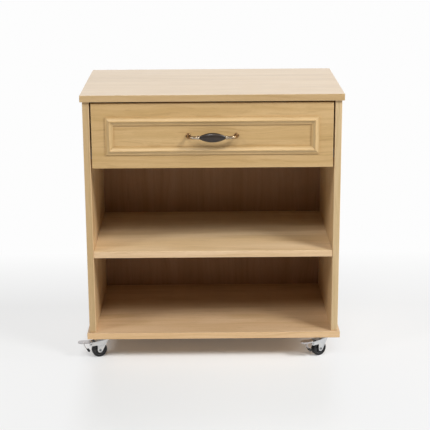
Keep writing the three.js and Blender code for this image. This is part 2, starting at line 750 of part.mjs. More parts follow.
function fork(braked) {
  const neckHole = FORK_NECK_RADIUS - FORK_SHEET;
  const webSheet = prismAlongY(
    [
      [-FORK_LEADING, forkTop(-FORK_LEADING)],
      [FORK_WEB_END, forkTop(FORK_WEB_END)],
      [FORK_WEB_END, forkTop(FORK_WEB_END) - FORK_SHEET],
      [-FORK_LEADING, forkTop(-FORK_LEADING) - FORK_SHEET],
    ],
    -forkOuter,
    forkOuter,
  );
  const web = cut(webSheet, cylinderAlongZ(neckHole, axleHeight, crownTop - FORK_SHEET, ROUND_SEGMENTS));
  const headUnder = crownTop - FORK_HEAD_DROP;
  const neckFoot = forkTop(FORK_NECK_RADIUS) - FORK_SHEET;
  const head = turnedAboutZ(
    [
      [KINGPIN_RADIUS + RUNNING_CLEARANCE, crownTop - FORK_SHEET],
      [neckHole, crownTop - FORK_SHEET],
      [neckHole, neckFoot],
      [FORK_NECK_RADIUS, neckFoot],
      [FORK_NECK_RADIUS, headUnder],
      [FORK_HEAD_RADIUS, crownTop - FORK_HEAD_RIM],
      [FORK_HEAD_RADIUS, crownTop],
      [KINGPIN_RADIUS + RUNNING_CLEARANCE, crownTop],
    ],
    ROUND_SEGMENTS,
  );
  const axleHole = cylinderAlongY(AXLE_RADIUS + RUNNING_CLEARANCE, -2 * forkOuter, 2 * forkOuter);
  axleHole.translate(CASTER_TRAIL, 0, axleHeight);
  const pinHole = cylinderAlongY(BRAKE_PIN_RADIUS + RUNNING_CLEARANCE, -2 * forkOuter, 2 * forkOuter);
  pinHole.translate(brakePivotX, 0, brakePivotZ);
  const cheek = cheekOutline(braked);
  const nearCheek = prismAlongY(cheek, forkInner, forkOuter);
  const farCheek = prismAlongY(cheek, -forkOuter, -forkInner);
  const body = join(web, head, nearCheek, farCheek);
  return braked ? cut(body, axleHole, pinHole) : cut(body, axleHole);
}

// A tubular rivet through both cheeks and the hub.
function axle() {
  const head = forkOuter + RUNNING_CLEARANCE;
  const end = head + AXLE_HEAD;
  const body = turnedAboutY(
    [
      [AXLE_BORE, -end],
      [AXLE_HEAD_RADIUS - RIVET_CHAMFER, -end],
      [AXLE_HEAD_RADIUS, -head],
      [AXLE_RADIUS, -head],
      [AXLE_RADIUS, head],
      [AXLE_HEAD_RADIUS, head],
      [AXLE_HEAD_RADIUS - RIVET_CHAMFER, end],
      [AXLE_BORE, end],
    ],
    SMALL_SEGMENTS,
  );
  return body.translate(CASTER_TRAIL, 0, axleHeight);
}

function wheelCore() {
  const bore = AXLE_RADIUS + RUNNING_CLEARANCE;
  const rimInner = RIM_RADIUS - RIM_WALL;
  const body = turnedAboutY(
    [
      [bore, -HUB_LENGTH / 2],
      [HUB_RADIUS, -HUB_LENGTH / 2],
      [HUB_RADIUS, -WHEEL_WEB / 2],
      [rimInner, -WHEEL_WEB / 2],
      [rimInner, -RIM_WIDTH / 2],
      [RIM_RADIUS, -RIM_WIDTH / 2],
      [RIM_RADIUS, RIM_WIDTH / 2],
      [rimInner, RIM_WIDTH / 2],
      [rimInner, WHEEL_WEB / 2],
      [HUB_RADIUS, WHEEL_WEB / 2],
      [HUB_RADIUS, HUB_LENGTH / 2],
      [bore, HUB_LENGTH / 2],
    ],
    ROUND_SEGMENTS,
  );
  return body.translate(CASTER_TRAIL, 0, axleHeight);
}

function tyre() {
  const seat = RIM_RADIUS + RUNNING_CLEARANCE;
  const half = TYRE_WIDTH / 2;
  const shoulder = half - TYRE_SHOULDER;
  const shoulderRadius = WHEEL_RADIUS - TYRE_SHOULDER;
  const profile = [[seat, -half]];
  const low = arcPoints(shoulderRadius, -shoulder, TYRE_SHOULDER, -90, 0, SHOULDER_STEPS);
  const high = arcPoints(shoulderRadius, shoulder, TYRE_SHOULDER, 0, 90, SHOULDER_STEPS);
  profile.push(...low, ...high, [seat, half]);
  return turnedAboutY(profile, FINE_SEGMENTS).translate(CASTER_TRAIL, 0, axleHeight);
}

// The outline of a bent sheet, half its thickness to either side of a curve.
function strip(curve) {
  const half = PEDAL_SHEET / 2;
  const near = [];
  const far = [];
  for (let i = 0; i <= ARC_STEPS; i += 1) {
    const point = curve.getPoint(i / ARC_STEPS);
    const tangent = curve.getTangent(i / ARC_STEPS);
    near.push([point.x - tangent.y * half, point.y + tangent.x * half]);
    far.push([point.x + tangent.y * half, point.y - tangent.x * half]);
  }
  return [...near, ...far.reverse()];
}

// The pedal is pressed from sheet: a tongue with a turned-down lip, two ears on the pivot pin, and an arm
// that ends in the curl that bears on the tyre.
function brakePedal() {
  const earOuter = forkInner - PEDAL_CLEARANCE;
  const tongueUnder = PEDAL_RISE - PEDAL_LIP;
  const round = PEDAL_WIDTH / 2;
  const neck = BRAKE_EAR_RADIUS + PEDAL_CLEARANCE;
  const plan = (inset) => [
    [-neck + inset, -earOuter + inset],
    [neck, -earOuter + inset],
    [neck + PEDAL_FLARE, -round + inset],
    ...arcPoints(PEDAL_REACH - round, 0, round - inset, -90, 90, SMALL_SEGMENTS),
    [neck + PEDAL_FLARE, round - inset],
    [neck, earOuter - inset],
    [-neck + inset, earOuter - inset],
  ];
  const shell = extrude(plan(0), PEDAL_LIP).translate(0, 0, tongueUnder);
  const hollow = extrude(plan(PEDAL_SHEET), PEDAL_LIP).translate(0, 0, tongueUnder - PEDAL_SHEET);
  const tilt = THREE.MathUtils.degToRad(PEDAL_TILT);
  const tongue = cut(shell, hollow).rotateY(-tilt);
  const earTop = PEDAL_RISE - PEDAL_SHEET;
  const earRound = arcPoints(0, 0, PEDAL_EAR_RADIUS, 180, 360);
  const ear = [...earRound, [PEDAL_EAR_RADIUS, earTop], [-PEDAL_EAR_RADIUS, earTop]];
  const nearEar = prismAlongY(ear, earOuter - PEDAL_SHEET, earOuter);
  const farEar = prismAlongY(ear, -earOuter, -earOuter + PEDAL_SHEET);
  const armRoot = new THREE.Vector2(PEDAL_ARM_ROOT, PEDAL_RISE - PEDAL_SHEET / 2);
  armRoot.rotateAround(new THREE.Vector2(0, 0), tilt);
  const armKnee = new THREE.Vector2(PEDAL_ARM_KNEE, -SHOE_DROP / 2);
  const armEnd = new THREE.Vector2(SHOE_OFFSET, -SHOE_DROP);
  const armOutline = strip(new THREE.QuadraticBezierCurve(armRoot, armKnee, armEnd));
  const arm = prismAlongY(armOutline, -SHOE_WIDTH / 2, SHOE_WIDTH / 2);
  const curl = cylinderAlongY(SHOE_RADIUS, -SHOE_WIDTH / 2, SHOE_WIDTH / 2);
  curl.translate(SHOE_OFFSET, 0, -SHOE_DROP);
  const pinHole = cylinderAlongY(BRAKE_PIN_RADIUS + RUNNING_CLEARANCE, -forkOuter, forkOuter);
  const body = cut(join(tongue, nearEar, farEar, arm, curl), pinHole);
  return body.translate(brakePivotX, 0, brakePivotZ);
}

function brakePin() {
  const head = forkOuter + RUNNING_CLEARANCE;
  const end = head + BRAKE_PIN_HEAD;
  const body = turnedAboutY(
    [
      [0, -end],
      [BRAKE_PIN_HEAD_RADIUS - RIVET_CHAMFER, -end],
      [BRAKE_PIN_HEAD_RADIUS, -head],
      [BRAKE_PIN_RADIUS, -head],
      [BRAKE_PIN_RADIUS, head],
      [BRAKE_PIN_HEAD_RADIUS, head],
      [BRAKE_PIN_HEAD_RADIUS - RIVET_CHAMFER, end],
      [0, end],
    ],
    SMALL_SEGMENTS,
  );
  return body.translate(brakePivotX, 0, brakePivotZ);
}

function buildCasters() {
  const x = PANEL_WIDTH / 2 - CASTER_SIDE_INSET;
  const frontY = panelFront + CASTER_END_INSET;
  const backY = panelBack - CASTER_END_INSET;
  const places = [
    ['front_left', -x, frontY, FRONT_LEFT_TURN, true],
    ['front_right', x, frontY, FRONT_RIGHT_TURN, true],
    ['rear_left', -x, backY, REAR_LEFT_TURN, false],
    ['rear_right', x, backY, REAR_RIGHT_TURN, false],
  ];
  for (const [place, placeX, placeY, turn, braked] of places) {
    const fixed = new THREE.Group();
    fixed.position.set(placeX, placeY, 0);
    station.add(fixed);
    piece(fixed, `${place}_caster_plate`, casterPlate(), zinc);
    piece(fixed, `${place}_kingpin`, kingpin(), steel);
    piece(fixed, `${place}_ball_ring`, ballRing(), steel);
    const turned = new THREE.Group();
    turned.position.set(placeX, placeY, 0);
    turned.rotation.z = Math.PI + THREE.MathUtils.degToRad(turn);
    station.add(turned);
    piece(turned, `${place}_fork`, fork(braked), zinc);
    piece(turned, `${place}_axle`, axle(), steel);
    piece(turned, `${place}_wheel_core`, wheelCore(), wheelFinish);
    piece(turned, `${place}_tyre`, tyre(), tyreFinish);
    if (braked) {
      piece(turned, `${place}_brake_pedal`, brakePedal(), zinc);
      piece(turned, `${place}_brake_pin`, brakePin(), steel);
    }
  }
}

buildCabinet();
buildDrawer();
buildCasters();

// The origin lies on the floor under the middle of the whole footprint, handle and pedals included.
station.updateMatrixWorld(true);
const footprint = new THREE.Box3().setFromObject(station, true);
const middle = footprint.getCenter(new THREE.Vector3());
station.position.set(-middle.x, -middle.y, -footprint.min.z);
station.updateMatrixWorld(true);

export default station;
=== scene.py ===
# Waiter service station: the finish of every surface, the small fasteners, the studio and the camera.
# Everything is in metres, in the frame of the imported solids: +Z up, -Y towards the viewer, floor at z = 0.

import json
import math

import bmesh
import bpy
from mathutils import Matrix, Vector

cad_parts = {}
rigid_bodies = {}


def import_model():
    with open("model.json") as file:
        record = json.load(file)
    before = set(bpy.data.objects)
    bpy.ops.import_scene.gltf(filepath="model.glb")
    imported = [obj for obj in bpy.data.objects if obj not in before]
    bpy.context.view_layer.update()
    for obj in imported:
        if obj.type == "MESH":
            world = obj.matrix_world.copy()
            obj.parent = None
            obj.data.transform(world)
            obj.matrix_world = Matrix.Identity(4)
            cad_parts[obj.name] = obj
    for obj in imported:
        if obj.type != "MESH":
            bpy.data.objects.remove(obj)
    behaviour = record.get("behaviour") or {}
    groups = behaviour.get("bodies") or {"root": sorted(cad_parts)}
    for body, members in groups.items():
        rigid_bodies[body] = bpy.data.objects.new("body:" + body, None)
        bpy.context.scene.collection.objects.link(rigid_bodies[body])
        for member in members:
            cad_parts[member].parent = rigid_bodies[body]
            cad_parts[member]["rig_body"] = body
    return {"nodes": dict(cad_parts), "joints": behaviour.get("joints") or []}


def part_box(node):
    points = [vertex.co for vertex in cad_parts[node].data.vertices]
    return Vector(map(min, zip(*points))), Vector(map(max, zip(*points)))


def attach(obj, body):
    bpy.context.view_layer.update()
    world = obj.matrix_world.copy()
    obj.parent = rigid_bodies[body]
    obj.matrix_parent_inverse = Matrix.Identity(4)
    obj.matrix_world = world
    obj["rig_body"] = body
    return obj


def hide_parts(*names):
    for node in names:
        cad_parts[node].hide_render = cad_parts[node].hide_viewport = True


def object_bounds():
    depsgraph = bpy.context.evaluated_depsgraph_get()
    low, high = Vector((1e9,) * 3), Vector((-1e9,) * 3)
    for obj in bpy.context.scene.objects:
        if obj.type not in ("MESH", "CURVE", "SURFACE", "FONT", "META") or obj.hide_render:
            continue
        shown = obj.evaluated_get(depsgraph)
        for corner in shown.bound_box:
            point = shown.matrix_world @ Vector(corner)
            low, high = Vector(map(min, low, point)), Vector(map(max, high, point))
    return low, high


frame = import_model()
cad_low, cad_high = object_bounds()

MM = 0.001

# Edges. Angles are in degrees: an edge that turns further is shaded sharp or rounded over, and faces that
# turn less than the flat angle become one. A profile's corner takes up a share of its sides at most.
SHARP_ANGLE = 40
SOFT_SHARP_ANGLE = 50
ROUNDED_ANGLE = 30
FLAT_ANGLE = 0.5
MERGE_DISTANCE = 0.001 * MM
ROUNDING_SEGMENTS = 2
CORNER_STEPS = 3
CORNER_SHARE = 0.45

# Oak-look laminate. Each pattern has its size along the grain, its size across it, and how many times a
# board's own offset shifts it along X, Y and Z, so that no two boards look alike.
GRAIN_DRIFT = (220 * MM, 60 * MM, (1, 1, 0))
GRAIN_FIGURE = (900 * MM, 50 * MM, (1, 2.3, 1))
GRAIN_LINES = (1900 * MM, 70 * MM, (1, 1, 1.7))
GRAIN_STREAKS = (300 * MM, 8 * MM, (1, 1.3, 1))
GRAIN_FIBRE = (110 * MM, 1.6 * MM, (1, 0, 0))
GRAIN_PORES = (14 * MM, 0.6 * MM, (0, 1, 0))
GRAIN_DRIFT_REACH = 32 * MM
LINE_DEPTH = 0.24
STREAK_DEPTH = 0.42
FIBRE_DEPTH = 0.26
PORE_DEPTH = 0.22
PORE_RANGE = (0.3, 0.42)
EDGE_PLAINNESS = 0.22
EDGE_RANGE = (0.2, 0.5)
# Strength of the painted highlight along the boards' rounded arrises
ARRIS_HIGHLIGHT = 0.35
OAK_DARK = 0xCAA56F
OAK_MIDDLE = 0xD7B381
OAK_PALE = 0xE2C192
OAK_LINE = 0xB69157
OAK_STREAK = 0xA37C45
OAK_FIBRE = 0xB8935C
OAK_PORE = 0xA7834C
OAK_EDGE = 0xD0AE76
# Colour of that painted highlight
OAK_ARRIS_HIGHLIGHT = 0xEACFA2
OAK_IOR = 1.46
OAK_COAT_ROUGHNESS = 0.3

# Boards: the axis that the grain follows, the thin axis and the tint of the faces. The tints are painted
# light
# and shade: each board is made lighter or darker as the light fell on it. Some have an edge band or an
# underside of another tint, painted light and shade as well, a clear coat, or a matt face with a shallow
# print.
BOARDS = {
    "top_panel": {
        "along": "X", "thick": "Z", "tint_and_light": (1.0, 1.06, 1.18), "edge": (0.89, 0.84, 0.73), "coat": 0.9,
    },
    "bottom_panel": {
        "along": "X", "thick": "Z", "tint_and_light": (1.03, 1.06, 1.26), "edge": (1.19, 1.16, 1.1),
    },
    "middle_shelf": {
        "along": "X", "thick": "Z", "tint_and_light": (1.29, 1.42, 1.74), "edge": (0.99, 0.96, 1.0),
        # The shelf's underside is darkened, as painted shade.
        "painted_shade_under": (0.55, 0.62, 0.85),
    },
    "left_side_panel": {
        "along": "Z", "thick": "X", "tint_and_light": (1.19, 1.25, 1.44), "edge": (0.785, 0.785, 0.75),
    },
    "right_side_panel": {
        "along": "Z", "thick": "X", "tint_and_light": (1.22, 1.3, 1.49), "edge": (0.88, 0.92, 0.96),
    },
    "back_panel": {
        "along": "Z", "thick": "Y", "tint_and_light": (0.645, 0.56, 0.62), "ior": 1.28, "print_depth": 0.5,
    },
    "drawer_front": {
        "along": "X", "thick": "Y", "tint_and_light": (0.98, 0.99, 0.94),
    },
}
BOARD_OFFSET = 3.1
BOARD_OFFSET_STEP = 4.7
BOARD_EASE = 0.35 * MM
BOX_EASE = 0.3 * MM

# Drawer moulding: the strips' sides, the axis along each and the way out from the frame's middle
MOULDINGS = (("top", "X", 1), ("bottom", "X", -1), ("right", "Z", 1), ("left", "Z", -1))
MOULDING_WIDTH = 21 * MM
MOULDING_HEIGHT = 7.5 * MM
MOULDING_FOOT = 2.6 * MM
MOULDING_BEAD = 3.4 * MM
MOULDING_BEAD_RISE = 1 * MM
MOULDING_QUIRK = 0.5 * MM
MOULDING_STEPS = 14
MOULDING_SHARP_ANGLE = 32
MOULDING_TINT = (0.98, 0.99, 0.94)
MOULDING_OFFSET = 41.3
MOULDING_OFFSET_STEP = 6.1

# Bow handle
HANDLE_SPACING = 128 * MM
HANDLE_REACH = 27 * MM
HANDLE_ROD_RADIUS = 4.2 * MM
HANDLE_NECK_RADIUS = 4.8 * MM
HANDLE_FOOT_RADIUS = 7 * MM
HANDLE_FOOT_HEIGHT = 4 * MM
HANDLE_FOOT_EDGE = 1.6 * MM
HANDLE_FOOT_STEPS = 8
HANDLE_BOW = 20 * MM
HANDLE_BOW_STEPS = 40
HANDLE_COLLAR_RADIUS = 5.8 * MM
HANDLE_COLLAR_LENGTH = 5 * MM
HANDLE_COLLAR_STEPS = 10
HANDLE_SEGMENTS = 40
HANDLE_SHARP_ANGLE = 50
GRIP_LENGTH = 70 * MM
GRIP_HEIGHT = 26 * MM
GRIP_THICKNESS = 13 * MM
GRIP_END_RADIUS = 3.6 * MM
GRIP_TAPER = 0.85
GRIP_STEPS = 48
GRIP_SEGMENTS = 64
GRIP_SHARP_ANGLE = 60
SEAT_GAP = 0.3 * MM
# Where the arms turn brown, measured out from the handle's middle, and how ragged that edge is
BROWN_START = 54 * MM
BROWN_END = 61 * MM
BROWN_RAGGED = 4 * MM

# Casters, and which of them have a brake
CASTERS = {"front_left": True, "front_right": True, "rear_left": False, "rear_right": False}
WHEEL_RADIUS = 21 * MM
TYRE_WIDTH = 16 * MM
TYRE_SHOULDER = 3 * MM
TYRE_SHOULDER_STEPS = 8
TYRE_SEGMENTS = 96
RIM_RADIUS = 15.5 * MM
RIM_WALL = 2 * MM
RIM_WIDTH = 13 * MM
HUB_RADIUS = 6 * MM
HUB_LENGTH = 17.4 * MM
WHEEL_WEB = 5 * MM
WHEEL_EASE = 0.5 * MM
WHEEL_SEGMENTS = 72
WHEEL_RIBS = 6
WHEEL_RIB_WIDTH = 1.8 * MM
WHEEL_RIB_SETBACK = 1.2 * MM
WHEEL_RIB_IN_HUB = 1 * MM
WHEEL_RIB_IN_RIM = 0.8 * MM
AXLE_RADIUS = 2.6 * MM
AXLE_BORE = 1.6 * MM
AXLE_HEAD_RADIUS = 4 * MM
AXLE_HEAD = 1 * MM
AXLE_EASE = 0.6 * MM
AXLE_SEGMENTS = 40
FORK_OUTER = 11.2 * MM
FORK_EASE = 0.35 * MM
PLATE_SHEET = 2 * MM
PLATE_EASE = 0.25 * MM
KINGPIN_EASE = 0.2 * MM
BALL_EASE = 0.1 * MM
BALL_ROUNDED_ANGLE = 80
PEDAL_EASE = 0.3 * MM
BRAKE_PIN_EASE = 0.15 * MM
RUNNING_CLEARANCE = 0.2 * MM
# How high up the brake pedal's end is black, and how ragged and soft that edge is
SHOE_DARK_HEIGHT = 11 * MM
DARK_EDGE_RAGGED = 0.6 * MM
DARK_EDGE_FADE = 0.5 * MM

# Roller runners
ROLLER_RADIUS = 8 * MM
ROLLER_WIDTH = 6.4 * MM
ROLLER_BORE = 2.2 * MM
ROLLER_EASE = 0.6 * MM
ROLLER_SEGMENTS = 48
RAIL_SHEET = 1.2 * MM
RAIL_EASE = 0.25 * MM

# Screws. The recess and the upright wall below the dome are shares of the head's radius or rise, and each
# head is turned on from the last by an angle in radians.
PLATE_HOLE_SPACING = 36 * MM
PLATE_SCREW_RADIUS = 3.9 * MM
PLATE_SCREW_RISE = 2.2 * MM
RUNNER_SCREW_RADIUS = 3 * MM
RUNNER_SCREW_RISE = 1.1 * MM
RUNNER_SCREW_INSET = 40 * MM
FRONT_SCREW_RADIUS = 4 * MM
FRONT_SCREW_RISE = 2.4 * MM
FRONT_SCREW_INSET = 60 * MM
FRONT_SCREW_MARGIN = 30 * MM
RECESS_WIDTH = 0.28
RECESS_LENGTH = 1.1
RECESS_DEPTH = 0.7
SCREW_WALL = 0.35
SCREW_SUNK = 0.1 * MM
SCREW_STEPS = 8
SCREW_SEGMENTS = 28
SCREW_TURN = 0.7

# Camera, as it stood to the cabinet in the photograph, with its angles in degrees
CAMERA_LENS = 105.71
CAMERA_SENSOR = 36
CAMERA_PITCH = 15.582
CAMERA_YAW = 0.387
CAMERA_ROLL = 0.340
CAMERA_ASIDE = -16.6 * MM
CAMERA_BACK = 3289.2 * MM
CAMERA_ABOVE = 587.1 * MM

# Studio floor: where its glow sets in behind the cabinet, beside it and far from it, and how strong it is
FLOOR_REACH = 14
GLOW_START = 0.25
GLOW_END = 0.8
# The glow beside the cabinet is painted light over its shadow on the floor; the glow under it lifts the shade
# there.
GLOW_ASIDE_START = 0.29
GLOW_ASIDE_END = 0.365
GLOW_ASIDE = 0.8
GLOW_UNDER = 0.06
GLOW_FAR_START = 1.0
GLOW_FAR_END = 2.2
FLOOR_GLOW = 0.905
BACKDROP_GLOW = 0.982

# Light that the floor throws back, which changes between two depths measured from the front of the solids
FLOOR_BOUNCE_FRONT = 0.62
FLOOR_BOUNCE_UNDER = 0.88
BOUNCE_START = -0.2
BOUNCE_END = 0.05

# White dome that polished surfaces mirror, from the front to the backdrop
DOME_GLOSS = 0.4
BACKDROP_GLOSS = 1.0
DOME_START = 0.2
DOME_END = 0.7

# Round softboxes: azimuth in degrees (0 in front, positive to the right), elevation, diameter and power
LIGHTS = {
    "key_light": (52, 41.5, 1.9, 231),
    "side_light": (85, 25, 1.5, 69),
    "front_light": (-8, 44, 1.6, 76),
    "left_light": (-54, 35, 1.5, 88),
    "back_light": (180, 58, 2.5, 61),
}
LIGHT_TARGET = (0, 0, 0.4)
LIGHT_DISTANCE = 6


def colour(code):
    """A colour written as on a screen, as the linear values that a shader takes."""
    channels = [((code >> shift) & 255) / 255 for shift in (16, 8, 0)]
    linear = [c / 12.92 if c <= 0.04045 else ((c + 0.055) / 1.055) ** 2.4 for c in channels]
    return (*linear, 1.0)


# Materials

class Shader:
    """A material's node tree, with short calls for the nodes that it is built from."""

    def __init__(self, name, **surface):
        self.material = bpy.data.materials.new(name)
        self.material.use_nodes = True
        self.tree = self.material.node_tree
        self.surface = self.tree.nodes["Principled BSDF"]
        texture = self.tree.nodes.new("ShaderNodeTexCoord")
        self.place = texture.outputs["Object"]
        self.normal = texture.outputs["Normal"]
        self.set(**surface)

    def set(self, **surface):
        """Feeds sockets of the surface, named with _ for a space."""
        for socket, value in surface.items():
            self.feed(self.surface.inputs[socket.replace("_", " ")], value)

    def feed(self, socket, value):
        """Links a socket to another node's output, or sets it to a constant."""
        if isinstance(value, bpy.types.NodeSocket):
            self.tree.links.new(value, socket)
        else:
            socket.default_value = value

    def node(self, kind, inputs, **settings):
        """A new node with its settings made and its inputs fed."""
        made = self.tree.nodes.new(kind)
        for name, value in settings.items():
            setattr(made, name, value)
        for socket, value in inputs.items():
            self.feed(made.inputs[socket], value)
        return made

    def stretched(self, sizes, offset):
        """The object's own coordinates, measured in steps of the given sizes along X, Y and Z."""
        scale = [1 / size for size in sizes]
        made = self.node("ShaderNodeMapping", {"Vector": self.place, "Scale": scale, "Location": offset})
        return made.outputs["Vector"]

    def drift(self, sizes, offset, reach):
        """Bends the coordinates of all later patterns by a slow noise, as grain wanders in a board."""
        inputs = {"Vector": self.stretched(sizes, offset), "Scale": 1.0, "Detail": 1.0}
        slow = self.node("ShaderNodeTexNoise", inputs).outputs["Color"]
        inputs = {0: slow, 1: [reach] * 3, 2: self.place}
        self.place = self.node("ShaderNodeVectorMath", inputs, operation="MULTIPLY_ADD").outputs["Vector"]

    def noise(self, sizes, offset=(0, 0, 0), detail=2, roughness=0.5, distortion=0.0):
        """A noise whose marks have one size, or a size each along X, Y and Z."""
        if not isinstance(sizes, list):
            sizes = [sizes] * 3
        inputs = {
            "Vector": self.stretched(sizes, offset), "Scale": 1.0,
            "Detail": detail, "Roughness": roughness, "Distortion": distortion,
        }
        return self.node("ShaderNodeTexNoise", inputs).outputs["Fac"]

    def wave(self, sizes, offset, direction, distortion, detail, detail_scale):
        """Bands across a direction, bent by a noise."""
        inputs = {
            "Vector": self.stretched(sizes, offset), "Scale": 1.0,
            "Distortion": distortion, "Detail": detail, "Detail Scale": detail_scale,
        }
        made = self.node("ShaderNodeTexWave", inputs, wave_type="BANDS", bands_direction=direction)
        return made.outputs["Fac"]

    def ramp(self, value, *stops):
        """Maps a value to colours by (place, colour) stops."""
        made = self.node("ShaderNodeValToRGB", {"Fac": value})
        elements = made.color_ramp.elements
        while len(elements) < len(stops):
            elements.new(0.5)
        for element, (place, shade) in zip(elements, stops):
            element.position = place
            element.color = shade
        return made.outputs["Color"]

    def span(self, value, to, over=(0.0, 1.0)):
        """Maps a value that runs over one range to another range, held at both ends."""
        inputs = {"Value": value, "From Min": over[0], "From Max": over[1], "To Min": to[0], "To Max": to[1]}
        return self.node("ShaderNodeMapRange", inputs).outputs["Result"]

    def math(self, operation, *values):
        """The result of one operation on the values."""
        return self.node("ShaderNodeMath", dict(enumerate(values)), operation=operation).outputs["Value"]

    def mix(self, share, first, second, blend="MIX"):
        """Mixes two colours, which sit at the sockets 6 and 7 of a mix node."""
        inputs = {0: share, 6: first, 7: second}
        return self.node("ShaderNodeMix", inputs, data_type="RGBA", blend_type=blend).outputs[2]

    def coordinate(self, axis):
        """The place along one axis of the object."""
        return self.node("ShaderNodeSeparateXYZ", {"Vector": self.place}).outputs[axis]

    def side(self, axis):
        """How far the surface faces along an axis of the object, from -1 to 1."""
        return self.node("ShaderNodeSeparateXYZ", {"Vector": self.normal}).outputs[axis]

    def facing(self, axis):
        """How squarely the surface faces an axis of the object either way, from 0 to 1."""
        return self.math("ABSOLUTE", self.side(axis))

    def bump(self, height, strength, distance):
        """Raises the surface's shading by a height pattern."""
        made = self.node("ShaderNodeBump", {"Height": height, "Strength": strength, "Distance": distance})
        self.set(Normal=made.outputs["Normal"])


def oak(name, offset, along, thick, tint_and_light, edge=None, painted_shade_under=None, coat=0.0, ior=OAK_IOR, print_depth=1.0):
    """Oak-look laminate whose grain runs along one axis, with an edge band round the board's thin faces."""
    def shade(code):
        """A colour of the print, in the board's tint, which paints light and shade on the board."""
        return (*(share * channel for share, channel in zip(tint_and_light, colour(code))), 1.0)

    def laid(pattern):
        """A pattern's sizes along X, Y and Z and its offset on this board."""
        length, width, steps = pattern
        sizes = [length if axis == along else width for axis in "XYZ"]
        return sizes, [step * offset for step in steps]

    shader = Shader(name, IOR=ior, Coat_Weight=coat, Coat_Roughness=OAK_COAT_ROUGHNESS)
    shader.drift(*laid(GRAIN_DRIFT), GRAIN_DRIFT_REACH)
    figure = shader.noise(*laid(GRAIN_FIGURE), detail=4, roughness=0.6, distortion=0.6)
    banding = "Z" if along == "X" else "X"
    lines = shader.wave(*laid(GRAIN_LINES), banding, distortion=5.5, detail=2, detail_scale=1.2)
    streaks = shader.noise(*laid(GRAIN_STREAKS), detail=2, roughness=0.6, distortion=1.4)
    fibre = shader.noise(*laid(GRAIN_FIBRE), detail=3, roughness=0.6)
    pores = shader.noise(*laid(GRAIN_PORES), detail=1)

    flatness = shader.facing(thick)

    look = shader.ramp(figure, (0.25, shade(OAK_DARK)), (0.5, shade(OAK_MIDDLE)), (0.78, shade(OAK_PALE)))
    prints = (
        (lines, (LINE_DEPTH * print_depth, 0.0), (0.02, 0.35), OAK_LINE),
        (streaks, (0.0, STREAK_DEPTH * print_depth), (0.55, 0.74), OAK_STREAK),
        (fibre, (0.0, FIBRE_DEPTH * print_depth), (0.35, 0.8), OAK_FIBRE),
        (pores, (PORE_DEPTH, 0.0), PORE_RANGE, OAK_PORE),
        (flatness, (EDGE_PLAINNESS, 0.0), EDGE_RANGE, OAK_EDGE),
    )
    for pattern, depth, over, code in prints:
        look = shader.mix(shader.span(pattern, depth, over), look, shade(code))
    # Painted light and shade: the edge tint makes the thin faces lighter or darker as the light fell on them.
    if edge:
        banded = shader.span(flatness, (1.0, 0.0), EDGE_RANGE)
        look = shader.mix(banded, look, (*edge, 1.0), "MULTIPLY")
    # Painted shade: the underside is darkened by a tint of its own.
    if painted_shade_under:
        backed = shader.span(shader.side("Z"), (1.0, 0.0), over=(-0.9, -0.6))
        look = shader.mix(backed, look, (*painted_shade_under, 1.0), "MULTIPLY")
    # Painted highlight: the rounded arrises are paler, as if they caught the light.
    rounded = shader.span(flatness, (0.0, 1.0), over=(0.25, 0.6))
    arris_highlight = shader.math("MULTIPLY", rounded, shader.span(flatness, (ARRIS_HIGHLIGHT, 0.0), over=(0.8, 0.97)))
    look = shader.mix(arris_highlight, look, shade(OAK_ARRIS_HIGHLIGHT))

    gloss = shader.span(shader.noise(50 * MM, detail=3), (0.32, 0.44))
    roughness = shader.math("ADD", gloss, shader.span(pores, (0.06, 0.0), over=(0.3, 0.45)))
    shader.set(Base_Color=look, Roughness=roughness)
    open_pores = shader.span(pores, (0.0, 1.0), PORE_RANGE)
    grain = shader.math("ADD", shader.math("MULTIPLY", fibre, 0.4), open_pores)
    shader.bump(grain, strength=0.12, distance=0.3 * MM)
    return shader.material


def linen_print(shader):
    """Weave and clouds of the drawer box's print, with its pale colour. The clouds set the gloss."""
    weave = shader.noise(1.1 * MM)
    cloud = shader.noise(140 * MM, detail=3)
    pale = shader.ramp(cloud, (0.3, colour(0xD6C6A8)), (0.7, colour(0xE0D2B8)))
    shader.set(Roughness=shader.span(cloud, (0.5, 0.62)))
    shader.bump(weave, strength=0.08, distance=0.2 * MM)
    return shader.span(weave, (0.0, 0.22), over=(0.45, 0.7)), cloud, pale


def melamine():
    """Pale board of the drawer box, with a faint linen print."""
    shader = Shader("pale_melamine", IOR=1.45)
    thread, _, pale = linen_print(shader)
    shader.set(Base_Color=shader.mix(thread, pale, colour(0xC6B594)))
    return shader.material


def board_shaded_below():
    """Drawer bottom with the pale print of the box above and grey below, as painted shade under the drawer.
    """
    shader = Shader("drawer_board_shaded_below", IOR=1.45)
    thread, cloud, pale = linen_print(shader)
    # Painted shade: the underside is a darker grey.
    shade_below_tone = shader.ramp(cloud, (0.3, colour(0x8B8C8E)), (0.7, colour(0x9A9A99)))
    specked = shader.mix(thread, shade_below_tone, colour(0x7D7C7A))
    above = shader.span(shader.side("Z"), (0.0, 1.0), over=(-0.5, 0.5))
    shader.set(Base_Color=shader.mix(above, specked, pale))
    return shader.material


def enamel():
    """Off-white epoxy enamel on rolled steel, rubbed where the rollers run."""
    shader = Shader("runner_enamel", IOR=1.5)
    peel = shader.noise(1.6 * MM)
    rub = shader.noise([4 * MM, 90 * MM, 4 * MM], detail=3)
    rubbed = shader.span(rub, (0.0, 0.5), over=(0.6, 0.8))
    shader.set(
        Base_Color=shader.mix(rubbed, colour(0xE9E6DF), colour(0xB9B6AF)),
        Roughness=shader.span(rub, (0.3, 0.5)),
    )
    shader.bump(peel, strength=0.1, distance=0.2 * MM)
    return shader.material


